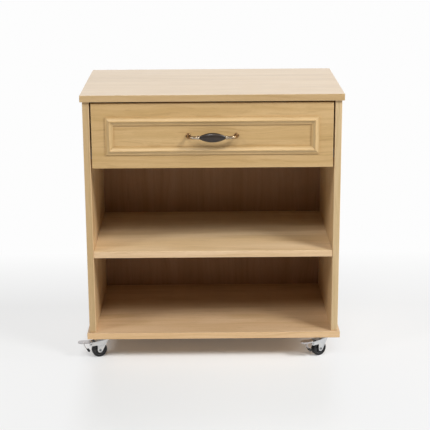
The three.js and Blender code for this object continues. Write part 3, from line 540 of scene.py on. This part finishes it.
def nylon():
    """Natural nylon of the rollers, with turning marks and a grey track."""
    shader = Shader("roller_nylon", IOR=1.53, Subsurface_Weight=0.05)
    marks = shader.noise([0.5 * MM, 4 * MM, 4 * MM])
    dirt = shader.noise(3 * MM, detail=3)
    soiled = shader.span(dirt, (0.0, 0.45), over=(0.5, 0.8))
    shader.set(
        Base_Color=shader.mix(soiled, colour(0xF0EEE6), colour(0xC9C4B8)),
        Roughness=shader.span(dirt, (0.42, 0.6)),
    )
    shader.bump(marks, strength=0.15, distance=0.1 * MM)
    return shader.material


def zinc():
    """Bright zinc plating on pressed sheet, slightly cloudy, with fine rolling lines and small scratches."""
    shader = Shader("zinc_plate", Metallic=1.0)
    cloud = shader.noise(9 * MM, detail=4, roughness=0.6)
    lines = shader.noise([20 * MM, 20 * MM, 0.4 * MM])
    scratches = shader.noise([30 * MM, 0.6 * MM, 12 * MM], roughness=0.6, distortion=0.4)
    plated = shader.ramp(cloud, (0.3, colour(0xC3C5C6)), (0.55, colour(0xD9DADB)), (0.8, colour(0xD6D2C8)))
    scratched = shader.span(scratches, (0.0, 0.5), over=(0.66, 0.74))
    shader.set(
        Base_Color=shader.mix(scratched, plated, colour(0x9FA2A5)),
        Roughness=shader.span(cloud, (0.24, 0.4)),
    )
    shader.bump(shader.math("ADD", lines, scratches), strength=0.05, distance=0.2 * MM)
    return shader.material


def zinc_darkened_below(name, dark_level):
    """Zinc plated sheet that is black, dull and not metal below a level, with a ragged edge."""
    shader = Shader(name)
    cloud = shader.noise(9 * MM, detail=4, roughness=0.6)
    scuff = shader.noise(2 * MM, detail=3)
    edge = shader.math("ADD", shader.coordinate("Z"), shader.span(scuff, (-DARK_EDGE_RAGGED, DARK_EDGE_RAGGED)))
    undarkened = shader.span(edge, (0.0, 1.0), over=(dark_level, dark_level + DARK_EDGE_FADE))
    plated = shader.ramp(cloud, (0.3, colour(0xAFADAE)), (0.55, colour(0xC4C1C2)), (0.8, colour(0xC0BAB4)))
    darkened = shader.ramp(scuff, (0.4, colour(0x18181A)), (0.7, colour(0x2E2D2C)))
    polish = shader.math("MULTIPLY", undarkened, 0.35)
    shader.set(
        Base_Color=shader.mix(undarkened, darkened, plated),
        Metallic=undarkened,
        Roughness=shader.math("SUBTRACT", shader.span(cloud, (0.6, 0.75)), polish),
    )
    shader.bump(scuff, strength=0.06, distance=0.2 * MM)
    return shader.material


def steel():
    """Plain steel of rivets and screws, a little oiled, with turning marks."""
    shader = Shader("rivet_steel", Metallic=1.0)
    marks = shader.noise([0.9 * MM, 0.4 * MM, 0.9 * MM])
    stain = shader.noise(4 * MM, detail=3)
    shader.set(
        Base_Color=shader.ramp(stain, (0.3, colour(0x8C8F92)), (0.7, colour(0xB4B6B8))),
        Roughness=shader.span(stain, (0.28, 0.46)),
    )
    shader.bump(marks, strength=0.1, distance=0.1 * MM)
    return shader.material


def nickel_browned_at_ends():
    """Nickel plating of the handle's arms, which turns brown round the bends at both ends."""
    shader = Shader("handle_brass", Metallic=1.0)
    patina = shader.noise(7 * MM, detail=4, roughness=0.6)
    brush = shader.noise([4 * MM, 0.5 * MM, 0.5 * MM])
    aside = shader.math("ABSOLUTE", shader.coordinate("X"))
    ragged = shader.math("ADD", aside, shader.span(patina, (-BROWN_RAGGED, BROWN_RAGGED), over=(0.3, 0.7)))
    browned = shader.span(ragged, (0.0, 1.0), over=(BROWN_START, BROWN_END))
    nickel = shader.ramp(patina, (0.35, colour(0x79634A)), (0.5, colour(0xA2917A)), (0.68, colour(0xCCC5B9)))
    brown_tone = shader.ramp(patina, (0.35, colour(0x5C452B)), (0.55, colour(0x957654)), (0.75, colour(0xC8AD85)))
    shader.set(Base_Color=shader.mix(browned, nickel, brown_tone), Roughness=shader.span(patina, (0.34, 0.16)))
    shader.bump(brush, strength=0.06, distance=0.1 * MM)
    return shader.material


def pewter():
    """Dark lacquered pewter of the grip, with a cloudy polish."""
    shader = Shader("handle_pewter", Metallic=0.35, Coat_Weight=0.35, Coat_Roughness=0.16)
    cloud = shader.noise([16 * MM, 8 * MM, 8 * MM], detail=4, roughness=0.6)
    pits = shader.noise(1.2 * MM)
    base = shader.ramp(cloud, (0.3, colour(0x1C150F)), (0.55, colour(0x2E231A)), (0.8, colour(0x4A3A2C)))
    shader.set(Base_Color=base, Roughness=shader.span(cloud, (0.26, 0.42)))
    shader.bump(pits, strength=0.06, distance=0.1 * MM)
    return shader.material


def rubber():
    """Black tyre rubber with a dusty, finely scuffed tread."""
    shader = Shader("tyre_rubber", IOR=1.5)
    scuff = shader.noise([4 * MM, 0.9 * MM, 4 * MM], detail=3, roughness=0.6)
    dust = shader.noise(9 * MM, detail=4)
    dusty = shader.span(dust, (0.0, 0.5), over=(0.5, 0.8))
    shader.set(
        Base_Color=shader.mix(dusty, colour(0x17171A), colour(0x3C3A38)),
        Roughness=shader.span(scuff, (0.55, 0.8)),
    )
    shader.bump(scuff, strength=0.2, distance=0.2 * MM)
    return shader.material


def wheel_plastic():
    """Moulded dark grey plastic of the wheel's core."""
    shader = Shader("wheel_plastic", IOR=1.49)
    texture = shader.noise(0.7 * MM)
    flow = shader.noise(12 * MM, detail=3)
    shader.set(
        Base_Color=shader.ramp(flow, (0.3, colour(0x343436)), (0.7, colour(0x47474A))),
        Roughness=shader.span(texture, (0.42, 0.56)),
    )
    shader.bump(texture, strength=0.1, distance=0.1 * MM)
    return shader.material


finishes = {
    "pale_melamine": melamine(),
    "drawer_board_shaded_below": board_shaded_below(),
    "runner_enamel": enamel(),
    "roller_nylon": nylon(),
    "zinc_plate": zinc(),
    "rivet_steel": steel(),
    "handle_brass": nickel_browned_at_ends(),
    "handle_pewter": pewter(),
    "tyre_rubber": rubber(),
    "wheel_plastic": wheel_plastic(),
}


# Mesh building

def piece(name, mesh, body, slot, material=None, matrix=Matrix.Identity(4), nodes=()):
    """A new object on a body, for the named solids. Its finish is the slot's unless one is given."""
    obj = bpy.data.objects.new(name, mesh)
    bpy.context.scene.collection.objects.link(obj)
    obj.matrix_world = matrix
    mesh.materials.clear()
    mesh.materials.append(material or finishes[slot])
    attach(obj, body)
    if nodes:
        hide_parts(*nodes)
    return obj


def mesh_of(name, form, sharp=SHARP_ANGLE):
    """Turns a bmesh into a mesh with smooth faces and sharp edges where they turn past an angle."""
    bmesh.ops.recalc_face_normals(form, faces=form.faces)
    for face in form.faces:
        face.smooth = True
    for edge in form.edges:
        edge.smooth = edge.is_manifold and edge.calc_face_angle(0) < math.radians(sharp)
    mesh = bpy.data.meshes.new(name)
    form.to_mesh(mesh)
    form.free()
    return mesh


def loft(rings, closed=False):
    """A bmesh skinned over rings of points. Ends are closed by a face, or the last ring joins the first."""
    form = bmesh.new()
    rows = [[form.verts.new(point) for point in ring] for ring in rings]
    following = rows[1:] + rows[:1] if closed else rows[1:]
    for low, high in zip(rows, following):
        for i in range(len(low)):
            j = (i + 1) % len(low)
            form.faces.new((low[i], low[j], high[j], high[i]))
    if not closed:
        form.faces.new(rows[0])
        form.faces.new(rows[-1])
    return form


def turned(profile, segments, closed=True):
    """A profile of (radius, place along Y), turned about Y. An open profile is capped at both ends."""
    rings = []
    for radius, along in profile:
        ring = []
        for i in range(segments):
            angle = 2 * math.pi * i / segments
            ring.append(Vector((radius * math.cos(angle), along, radius * math.sin(angle))))
        rings.append(ring)
    return loft(rings, closed)


def mirrored(half):
    """A closed profile from its half on the +Y side."""
    return half + [(radius, -along) for radius, along in reversed(half)]


def rounded_profile(points, radius):
    """A closed profile with its corners rounded."""
    rounded = []
    count = len(points)
    for i in range(count):
        corner = Vector(points[i])
        before = Vector(points[i - 1]) - corner
        after = Vector(points[(i + 1) % count]) - corner
        reach = min(radius, before.length * CORNER_SHARE, after.length * CORNER_SHARE)
        start = corner + before.normalized() * reach
        end = corner + after.normalized() * reach
        for step in range(CORNER_STEPS + 1):
            share = step / CORNER_STEPS
            rounded.append(start.lerp(corner, share).lerp(corner.lerp(end, share), share))
    return [tuple(point) for point in rounded]


def swept(points, radii, segments):
    """A round bar of varying radius along a line of points in the XY plane."""
    up = Vector((0, 0, 1))
    rings = []
    for i, (point, radius) in enumerate(zip(points, radii)):
        ahead = (points[min(i + 1, len(points) - 1)] - points[max(i - 1, 0)]).normalized()
        side = Vector((-ahead.y, ahead.x, 0))
        ring = []
        for step in range(segments):
            angle = 2 * math.pi * step / segments
            ring.append(point + radius * (math.cos(angle) * side + math.sin(angle) * up))
        rings.append(ring)
    return loft(rings)


def box_form(low, high):
    """A block between two corners, as a bmesh."""
    form = bmesh.new()
    size = Vector(high) - Vector(low)
    middle = (Vector(high) + Vector(low)) / 2
    matrix = Matrix.Translation(middle) @ Matrix.Diagonal((*size, 1))
    bmesh.ops.create_cube(form, size=1, matrix=matrix)
    return form


def combined(mesh, cutters, operation):
    """The mesh joined with, or cut by, other meshes."""
    target = bpy.data.objects.new("target", mesh)
    bpy.context.scene.collection.objects.link(target)
    helpers = []
    for cutter in cutters:
        helper = bpy.data.objects.new("helper", cutter)
        bpy.context.scene.collection.objects.link(helper)
        helpers.append(helper)
        modifier = target.modifiers.new("combine", "BOOLEAN")
        modifier.operation = operation
        modifier.solver = "EXACT"
        modifier.object = helper
    bpy.context.view_layer.update()
    result = bpy.data.meshes.new_from_object(target.evaluated_get(bpy.context.evaluated_depsgraph_get()))
    for helper in [target, *helpers]:
        bpy.data.objects.remove(helper)
    form = bmesh.new()
    form.from_mesh(result)
    return mesh_of(mesh.name, form)


def softened(node, radius, angle):
    """A copy of a solid with its facets merged and its sharp edges rounded over."""
    form = bmesh.new()
    form.from_mesh(frame["nodes"][node].data)
    bmesh.ops.remove_doubles(form, verts=form.verts, dist=MERGE_DISTANCE)
    flat = math.radians(FLAT_ANGLE)
    bmesh.ops.dissolve_limit(form, angle_limit=flat, verts=form.verts, edges=form.edges)
    limit = math.radians(angle)
    sharp = [edge for edge in form.edges if edge.is_manifold and edge.calc_face_angle(0) > limit]
    bmesh.ops.bevel(
        form, geom=sharp, offset=radius, segments=ROUNDING_SEGMENTS, profile=0.5,
        affect="EDGES", clamp_overlap=True,
    )
    return mesh_of(node, form, SOFT_SHARP_ANGLE)


def soft_piece(node, slot, radius, angle=ROUNDED_ANGLE, material=None):
    """A softened solid in place of its node, on the same body."""
    body = frame["nodes"][node]["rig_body"]
    obj = piece(node + "_finish", softened(node, radius, angle), body, slot, material, nodes=[node])
    weighted = obj.modifiers.new("even shading", "WEIGHTED_NORMAL")
    weighted.keep_sharp = True


# Boards

def dress_boards():
    """The oak-look boards of the cabinet and the drawer's front, and the pale boards of the drawer's box."""
    for number, (node, laminate) in enumerate(BOARDS.items()):
        material = oak("oak_" + node, BOARD_OFFSET + BOARD_OFFSET_STEP * number, **laminate)
        soft_piece(node, "oak_laminate", BOARD_EASE, material=material)
    for side in ("left", "right", "front", "back", "bottom"):
        material = finishes["drawer_board_shaded_below" if side == "bottom" else "pale_melamine"]
        soft_piece("drawer_box_" + side, "drawer_board", BOX_EASE, material=material)


# Drawer moulding

def moulding_section():
    """Points of (across, height): a square foot, a cove, a quirk and a bead, mirrored about the ridge."""
    bead_radius = MOULDING_BEAD / 2
    ridge = MOULDING_WIDTH / 2
    bead_foot = MOULDING_HEIGHT - MOULDING_BEAD_RISE
    cove_rise = bead_foot - MOULDING_QUIRK - MOULDING_FOOT
    left = [(0, 0)]
    for i in range(MOULDING_STEPS + 1):
        share = i / MOULDING_STEPS
        rise = 1 - math.cos(share * math.pi / 2)
        left.append(((ridge - bead_radius) * share, MOULDING_FOOT + cove_rise * rise))
    for i in range(MOULDING_STEPS):
        angle = (i / MOULDING_STEPS) * math.pi / 2
        left.append((ridge - bead_radius * math.cos(angle), bead_foot + MOULDING_BEAD_RISE * math.sin(angle)))
    right = [(MOULDING_WIDTH - reach, height) for reach, height in reversed(left)]
    return [*left, (ridge, MOULDING_HEIGHT), *right]


def dress_mouldings():
    """Each strip is rebuilt along its solid's long side, with its ends cut to the mitre."""
    for number, (side, along, outward) in enumerate(MOULDINGS):
        node = "moulding_" + side
        low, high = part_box(node)
        lengthwise, crosswise = ("x", "z") if along == "X" else ("z", "x")
        outer = getattr(high if outward > 0 else low, crosswise)
        rings = []
        for place, inward in ((getattr(low, lengthwise), 1), (getattr(high, lengthwise), -1)):
            ring = []
            for reach, height in moulding_section():
                point = Vector((0, high.y - height, 0))
                setattr(point, lengthwise, place + inward * reach)
                setattr(point, crosswise, outer - outward * reach)
                ring.append(point)
            rings.append(ring)
        mesh = mesh_of(node, loft(rings), MOULDING_SHARP_ANGLE)
        offset = MOULDING_OFFSET + MOULDING_OFFSET_STEP * number
        material = oak("oak_" + node, offset, along=along, thick="Y", tint_and_light=MOULDING_TINT)
        piece(node + "_finish", mesh, "drawer", "oak_laminate", material, nodes=[node])


# Bow handle

def handle_line():
    """The right arm's line from the drawer's face to the grip, with its radius at each point."""
    foot = HANDLE_SPACING / 2
    collar_end = GRIP_LENGTH / 2 + SEAT_GAP
    collar_start = collar_end + HANDLE_COLLAR_LENGTH
    rod_end = collar_end + HANDLE_COLLAR_LENGTH / 2
    bow = [
        Vector((foot, -HANDLE_FOOT_HEIGHT / 2, 0)),
        Vector((foot, -HANDLE_FOOT_HEIGHT / 2 - HANDLE_BOW, 0)),
        Vector((rod_end + HANDLE_BOW, -HANDLE_REACH, 0)),
        Vector((rod_end, -HANDLE_REACH, 0)),
    ]
    line = [(Vector((foot, 0, 0)), HANDLE_FOOT_RADIUS)]
    for i in range(HANDLE_FOOT_STEPS + 1):
        angle = (i / HANDLE_FOOT_STEPS) * math.pi / 2
        rise = HANDLE_FOOT_EDGE + (HANDLE_FOOT_HEIGHT - HANDLE_FOOT_EDGE) * math.sin(angle)
        radius = HANDLE_NECK_RADIUS + (HANDLE_FOOT_RADIUS - HANDLE_NECK_RADIUS) * math.cos(angle)
        line.append((Vector((foot, -rise, 0)), radius))
    for i in range(HANDLE_BOW_STEPS + 1):
        t = i / HANDLE_BOW_STEPS
        weights = ((1 - t) ** 3, 3 * t * (1 - t) ** 2, 3 * t * t * (1 - t), t ** 3)
        point = sum((weight * corner for weight, corner in zip(weights, bow)), Vector())
        if point.y < -HANDLE_FOOT_HEIGHT - SEAT_GAP and point.x > collar_start + SEAT_GAP:
            line.append((point, HANDLE_ROD_RADIUS))
    for i in range(HANDLE_COLLAR_STEPS + 1):
        angle = (i / HANDLE_COLLAR_STEPS) * math.pi
        place = collar_end + HANDLE_COLLAR_LENGTH * (1 + math.cos(angle)) / 2
        radius = HANDLE_NECK_RADIUS + (HANDLE_COLLAR_RADIUS - HANDLE_NECK_RADIUS) * math.sin(angle)
        line.append((Vector((place, -HANDLE_REACH, 0)), radius))
    return line


def grip_form():
    """The leaf-shaped grip, taller than it is thick."""
    half = GRIP_LENGTH / 2
    profile = []
    for i in range(GRIP_STEPS + 1):
        along = -1 + 2 * i / GRIP_STEPS
        swell = max(math.cos(along * math.pi / 2), 0) ** GRIP_TAPER
        profile.append((GRIP_END_RADIUS + (GRIP_HEIGHT / 2 - GRIP_END_RADIUS) * swell, half * along))
    form = turned(profile, GRIP_SEGMENTS, closed=False)
    lie = Matrix.Rotation(-math.pi / 2, 4, "Z")
    thin = Matrix.Diagonal((1, GRIP_THICKNESS / GRIP_HEIGHT, 1, 1))
    form.transform(Matrix.Translation((0, -HANDLE_REACH, 0)) @ thin @ lie)
    return form


def dress_handle():
    """Both arms and the grip, on the drawer's face where the solids stand."""
    low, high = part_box("handle_grip")
    _, arm_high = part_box("handle_left_arm")
    place = Matrix.Translation(((low.x + high.x) / 2, arm_high.y, (low.z + high.z) / 2))
    points, radii = zip(*handle_line())
    for side, name in ((1, "handle_right_arm"), (-1, "handle_left_arm")):
        form = swept(points, radii, HANDLE_SEGMENTS)
        form.transform(Matrix.Diagonal((side, 1, 1, 1)))
        mesh = mesh_of(name, form, HANDLE_SHARP_ANGLE)
        piece(name + "_finish", mesh, "drawer", "handle_brass", matrix=place, nodes=[name])
    mesh = mesh_of("handle_grip", grip_form(), GRIP_SHARP_ANGLE)
    piece("handle_grip_finish", mesh, "drawer", "handle_pewter", matrix=place, nodes=["handle_grip"])


# Runners

def roller_form():
    """A roller with a bore, turned about Y."""
    half = ROLLER_WIDTH / 2
    corners = [(ROLLER_BORE, -half), (ROLLER_RADIUS, -half), (ROLLER_RADIUS, half), (ROLLER_BORE, half)]
    return turned(rounded_profile(corners, ROLLER_EASE), ROLLER_SEGMENTS)


def dress_runners():
    """The rails of both sides and their rollers, which turn about X."""
    for side in ("left", "right"):
        for kind in ("cabinet", "drawer"):
            soft_piece(f"{side}_{kind}_runner", "runner_enamel", RAIL_EASE)
        for end in ("front", "rear"):
            node = f"{side}_{end}_roller"
            low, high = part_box(node)
            matrix = Matrix.Translation((low + high) / 2) @ Matrix.Rotation(math.pi / 2, 4, "Z")
            mesh = mesh_of(node, roller_form())
            piece(node + "_finish", mesh, node, "roller_nylon", matrix=matrix, nodes=[node])


# Casters

def caster_matrix(name):
    """The caster's own frame: its wheel's axle along Y, the way from swivel to axle along X."""
    spin = next(joint for joint in frame["joints"] if joint["name"] == name + "_wheel_spin")
    side = Vector(spin["axis"])
    up = Vector((0, 0, 1))
    turn = Matrix((side.cross(up), side, up)).transposed().to_4x4()
    return Matrix.Translation(spin["pos_m"]) @ turn


def tyre_form():
    """A tyre with rounded shoulders, hollow where the rim sits."""
    half = TYRE_WIDTH / 2
    seat = RIM_RADIUS + RUNNING_CLEARANCE
    corners = [(seat, -half), (WHEEL_RADIUS - TYRE_SHOULDER, -half)]
    for end in (-1, 1):
        for i in range(TYRE_SHOULDER_STEPS + 1):
            share = i / TYRE_SHOULDER_STEPS
            angle = math.pi / 2 * (share if end < 0 else 1 - share)
            radius = WHEEL_RADIUS - TYRE_SHOULDER + TYRE_SHOULDER * math.sin(angle)
            corners.append((radius, end * (half - TYRE_SHOULDER + TYRE_SHOULDER * math.cos(angle))))
    corners += [(WHEEL_RADIUS - TYRE_SHOULDER, half), (seat, half)]
    profile = [corner for i, corner in enumerate(corners) if corner != corners[i - 1]]
    return turned(profile, TYRE_SEGMENTS)


def wheel_core_mesh():
    """Hub, web and rim turned in one, with ribs on both faces of the web."""
    rim_inner = RIM_RADIUS - RIM_WALL
    bore = AXLE_RADIUS + RUNNING_CLEARANCE
    profile = mirrored([
        (bore, HUB_LENGTH / 2), (HUB_RADIUS, HUB_LENGTH / 2), (HUB_RADIUS, WHEEL_WEB / 2),
        (rim_inner, WHEEL_WEB / 2), (rim_inner, RIM_WIDTH / 2), (RIM_RADIUS, RIM_WIDTH / 2),
    ])
    core = mesh_of("wheel_core", turned(rounded_profile(profile, WHEEL_EASE), WHEEL_SEGMENTS))
    reach = RIM_WIDTH / 2 - WHEEL_RIB_SETBACK
    low = (HUB_RADIUS - WHEEL_RIB_IN_HUB, -reach, -WHEEL_RIB_WIDTH / 2)
    high = (rim_inner + WHEEL_RIB_IN_RIM, reach, WHEEL_RIB_WIDTH / 2)
    ribs = []
    for i in range(WHEEL_RIBS):
        form = box_form(low, high)
        form.transform(Matrix.Rotation(2 * math.pi * i / WHEEL_RIBS, 4, "Y"))
        ribs.append(mesh_of("rib", form))
    return combined(core, ribs, "UNION")


def axle_form():
    """A tubular rivet with a head on each side of the fork."""
    head = FORK_OUTER + RUNNING_CLEARANCE
    end = head + AXLE_HEAD
    half = [(AXLE_BORE, end), (AXLE_HEAD_RADIUS, end), (AXLE_HEAD_RADIUS, head), (AXLE_RADIUS, head)]
    return turned(rounded_profile(mirrored(half), AXLE_EASE), AXLE_SEGMENTS)


def dress_casters():
    """Each caster's wheel and axle are rebuilt round its axle, and its pressed parts are softened."""
    core = wheel_core_mesh()
    for name, braked in CASTERS.items():
        matrix = caster_matrix(name)
        wheel = name + "_wheel"
        node = name + "_tyre"
        mesh = mesh_of(node, tyre_form())
        piece(node + "_finish", mesh, wheel, "tyre_rubber", matrix=matrix, nodes=[node])
        node = name + "_wheel_core"
        piece(node + "_finish", core.copy(), wheel, "wheel_plastic", matrix=matrix, nodes=[node])
        node = name + "_axle"
        mesh = mesh_of(node, axle_form())
        piece(node + "_finish", mesh, name + "_caster", "rivet_steel", matrix=matrix, nodes=[node])
        soft_piece(name + "_fork", "zinc_plate", FORK_EASE)
        soft_piece(name + "_caster_plate", "zinc_plate", PLATE_EASE)
        soft_piece(name + "_kingpin", "rivet_steel", KINGPIN_EASE)
        soft_piece(name + "_ball_ring", "rivet_steel", BALL_EASE, BALL_ROUNDED_ANGLE)
        if braked:
            node = name + "_brake_pedal"
            low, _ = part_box(node)
            soft_piece(node, "zinc_plate", PEDAL_EASE, material=zinc_darkened_below(node + "_zinc", low.z + SHOE_DARK_HEIGHT))
            soft_piece(name + "_brake_pin", "rivet_steel", BRAKE_PIN_EASE)


# Screws

def screw_mesh(radius, rise):
    """A pan head with a cross recess, standing out along +Y from y = 0."""
    profile = [(radius, -SCREW_SUNK), (radius, rise * SCREW_WALL)]
    for i in range(1, SCREW_STEPS):
        angle = (i / SCREW_STEPS) * math.pi / 2
        profile.append((radius * math.cos(angle), rise * (SCREW_WALL + (1 - SCREW_WALL) * math.sin(angle))))
    head = mesh_of("screw", turned(profile, SCREW_SEGMENTS, closed=False))
    length = radius * RECESS_LENGTH / 2
    width = radius * RECESS_WIDTH / 2
    depth = rise * (1 - RECESS_DEPTH)
    slots = [
        mesh_of("slot", box_form((-x, depth, -z), (x, 2 * rise, z)))
        for x, z in ((length, width), (width, length))
    ]
    return combined(head, slots, "DIFFERENCE")


def screws(name, body, radius, rise, seats):
    """Screw heads at (place, direction) seats, joined into one piece, each turned on from the last."""
    head = screw_mesh(radius, rise)
    form = bmesh.new()
    for number, (place, out) in enumerate(seats):
        turn = Vector((0, 1, 0)).rotation_difference(Vector(out)).to_matrix().to_4x4()
        spin = Matrix.Rotation(SCREW_TURN * number, 4, "Y")
        copy = head.copy()
        copy.transform(Matrix.Translation(place) @ turn @ spin)
        form.from_mesh(copy)
    piece(name, mesh_of(name, form), body, "rivet_steel")


def add_plate_screws():
    """Four screws up through each caster's plate."""
    corner = PLATE_HOLE_SPACING / 2
    for name in CASTERS:
        low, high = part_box(name + "_caster_plate")
        middle = (low + high) / 2
        seats = [
            ((middle.x + x, middle.y + y, high.z - PLATE_SHEET), (0, 0, -1))
            for x in (-corner, corner) for y in (-corner, corner)
        ]
        screws(name + "_plate_screws", "cabinet", PLATE_SCREW_RADIUS, PLATE_SCREW_RISE, seats)


def add_front_screws():
    """Screws from inside the drawer's box into the handle and into the drawer's front."""
    low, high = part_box("drawer_box_front")
    grip_low, grip_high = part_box("handle_grip")
    middle = (grip_low + grip_high) / 2
    places = [(middle.x + side * HANDLE_SPACING / 2, middle.z) for side in (-1, 1)]
    for x in (low.x + FRONT_SCREW_INSET, high.x - FRONT_SCREW_INSET):
        for z in (low.z + FRONT_SCREW_MARGIN, high.z - FRONT_SCREW_MARGIN):
            places.append((x, z))
    seats = [((x, high.y, z), (0, 1, 0)) for x, z in places]
    screws("drawer_front_screws", "drawer", FRONT_SCREW_RADIUS, FRONT_SCREW_RISE, seats)


def add_runner_screws():
    """Three screws through each cabinet rail into the side board."""
    for side, out in (("left", 1), ("right", -1)):
        low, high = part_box(side + "_cabinet_runner")
        face = low.x + RAIL_SHEET if out > 0 else high.x - RAIL_SHEET
        middle = (low + high) / 2
        places = (low.y + RUNNER_SCREW_INSET, middle.y, high.y - RUNNER_SCREW_INSET)
        seats = [((face, y, middle.z), (out, 0, 0)) for y in places]
        screws(side + "_runner_screws", "cabinet", RUNNER_SCREW_RADIUS, RUNNER_SCREW_RISE, seats)


# Studio

def paper():
    """Pale floor paper that glows white behind and far from the cabinet, and beside it as painted light on
    its shadow.
    """
    shader = Shader("studio_paper", Roughness=0.9, Specular_IOR_Level=0.0, Emission_Color=(1, 1, 1, 1))
    mottle = shader.noise(600 * MM)
    base = shader.ramp(mottle, (0.3, colour(0xF5F6F6)), (0.7, colour(0xF7F8F8)))
    bounced = shader.node("ShaderNodeLightPath", {}).outputs["Is Diffuse Ray"]
    depth = shader.coordinate("Y")
    aside = shader.math("ABSOLUTE", shader.coordinate("X"))
    distance = shader.node("ShaderNodeVectorMath", {0: shader.place}, operation="LENGTH").outputs["Value"]
    behind = shader.span(depth, (0.0, 1.0), over=(GLOW_START, GLOW_END))
    # Painted light: the glow beside the cabinet lightens its shadow, and GLOW_UNDER lifts the shade under it.
    beside = shader.span(aside, (GLOW_UNDER, GLOW_ASIDE), over=(GLOW_ASIDE_START, GLOW_ASIDE_END))
    far = shader.span(distance, (0.0, 1.0), over=(GLOW_FAR_START, GLOW_FAR_END))
    dark = shader.math("SUBTRACT", 1.0, behind)
    for glowing in (beside, far):
        dark = shader.math("MULTIPLY", dark, shader.math("SUBTRACT", 1.0, glowing))
    share = shader.math("SUBTRACT", 1.0, dark)
    white = shader.span(shader.math("MAXIMUM", behind, far), (FLOOR_GLOW, BACKDROP_GLOW))
    glow = shader.math("MULTIPLY", share, white)
    seen = shader.math("SUBTRACT", 1.0, bounced)
    lit = shader.mix(share, base, (0, 0, 0, 1))
    front = (cad_low.y + BOUNCE_START, cad_low.y + BOUNCE_END)
    bounce = shader.span(depth, (FLOOR_BOUNCE_FRONT, FLOOR_BOUNCE_UNDER), over=front)
    shader.set(
        Base_Color=shader.mix(bounced, lit, bounce),
        Emission_Strength=shader.math("MULTIPLY", glow, seen),
    )
    return shader.material


def build_studio():
    """The floor, which is not attached to any of the station's bodies."""
    form = bmesh.new()
    bmesh.ops.create_grid(form, x_segments=1, y_segments=1, size=FLOOR_REACH)
    floor = bpy.data.objects.new("studio_floor", mesh_of("studio_floor", form))
    bpy.context.scene.collection.objects.link(floor)
    floor.data.materials.append(paper())


def build_lights():
    """The softboxes, which all look at the cabinet's middle."""
    for name, (azimuth, elevation, size, power) in LIGHTS.items():
        turn, rise = math.radians(azimuth), math.radians(elevation)
        outward = Vector((math.sin(turn) * math.cos(rise), -math.cos(turn) * math.cos(rise), math.sin(rise)))
        light = bpy.data.lights.new(name, "AREA")
        light.shape = "DISK"
        light.size = size
        light.energy = power
        obj = bpy.data.objects.new(name, light)
        obj.location = Vector(LIGHT_TARGET) + LIGHT_DISTANCE * outward
        obj.rotation_euler = outward.to_track_quat("Z", "Y").to_euler()
        bpy.context.scene.collection.objects.link(obj)


def build_world():
    """White behind all that is seen, and a white dome in polished surfaces that lights nothing else."""
    world = bpy.data.worlds.new("studio")
    world.use_nodes = True
    nodes, links = world.node_tree.nodes, world.node_tree.links
    path = nodes.new("ShaderNodeLightPath")
    way = nodes.new("ShaderNodeSeparateXYZ")
    links.new(nodes.new("ShaderNodeTexCoord").outputs["Generated"], way.inputs["Vector"])
    dome = nodes.new("ShaderNodeMapRange")
    values = {"From Min": DOME_START, "From Max": DOME_END, "To Min": DOME_GLOSS, "To Max": BACKDROP_GLOSS}
    for name, value in values.items():
        dome.inputs[name].default_value = value
    links.new(way.outputs["Y"], dome.inputs["Value"])
    glossy = nodes.new("ShaderNodeMath")
    glossy.operation = "MULTIPLY"
    links.new(dome.outputs["Result"], glossy.inputs[0])
    links.new(path.outputs["Is Glossy Ray"], glossy.inputs[1])
    seen = nodes.new("ShaderNodeMath")
    seen.operation = "MULTIPLY_ADD"
    seen.inputs[1].default_value = BACKDROP_GLOW
    links.new(path.outputs["Is Camera Ray"], seen.inputs[0])
    links.new(glossy.outputs["Value"], seen.inputs[2])
    background = nodes["Background"]
    background.inputs["Color"].default_value = (1, 1, 1, 1)
    links.new(seen.outputs["Value"], background.inputs["Strength"])
    bpy.context.scene.world = world


def build_camera():
    """Places the camera from the cabinet's middle, its front and its worktop."""
    left_low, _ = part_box("left_side_panel")
    _, right_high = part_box("right_side_panel")
    _, top_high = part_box("top_panel")
    place = Vector((
        (left_low.x + right_high.x) / 2 + CAMERA_ASIDE,
        left_low.y - CAMERA_BACK,
        top_high.z + CAMERA_ABOVE,
    ))
    camera = bpy.data.cameras.new("camera")
    camera.lens = CAMERA_LENS
    camera.sensor_width = CAMERA_SENSOR
    obj = bpy.data.objects.new("camera", camera)
    turn = Matrix.Rotation(math.radians(-CAMERA_YAW), 4, "Z")
    turn = turn @ Matrix.Rotation(math.radians(90 - CAMERA_PITCH), 4, "X")
    turn = turn @ Matrix.Rotation(math.radians(-CAMERA_ROLL), 4, "Z")
    obj.matrix_world = Matrix.Translation(place) @ turn
    bpy.context.scene.collection.objects.link(obj)
    bpy.context.scene.camera = obj


build_camera()
dress_boards()
dress_mouldings()
dress_handle()
dress_runners()
dress_casters()
add_plate_screws()
add_front_screws()
add_runner_screws()
build_studio()
build_lights()
build_world()
bpy.context.scene.view_settings.view_transform = "Standard"
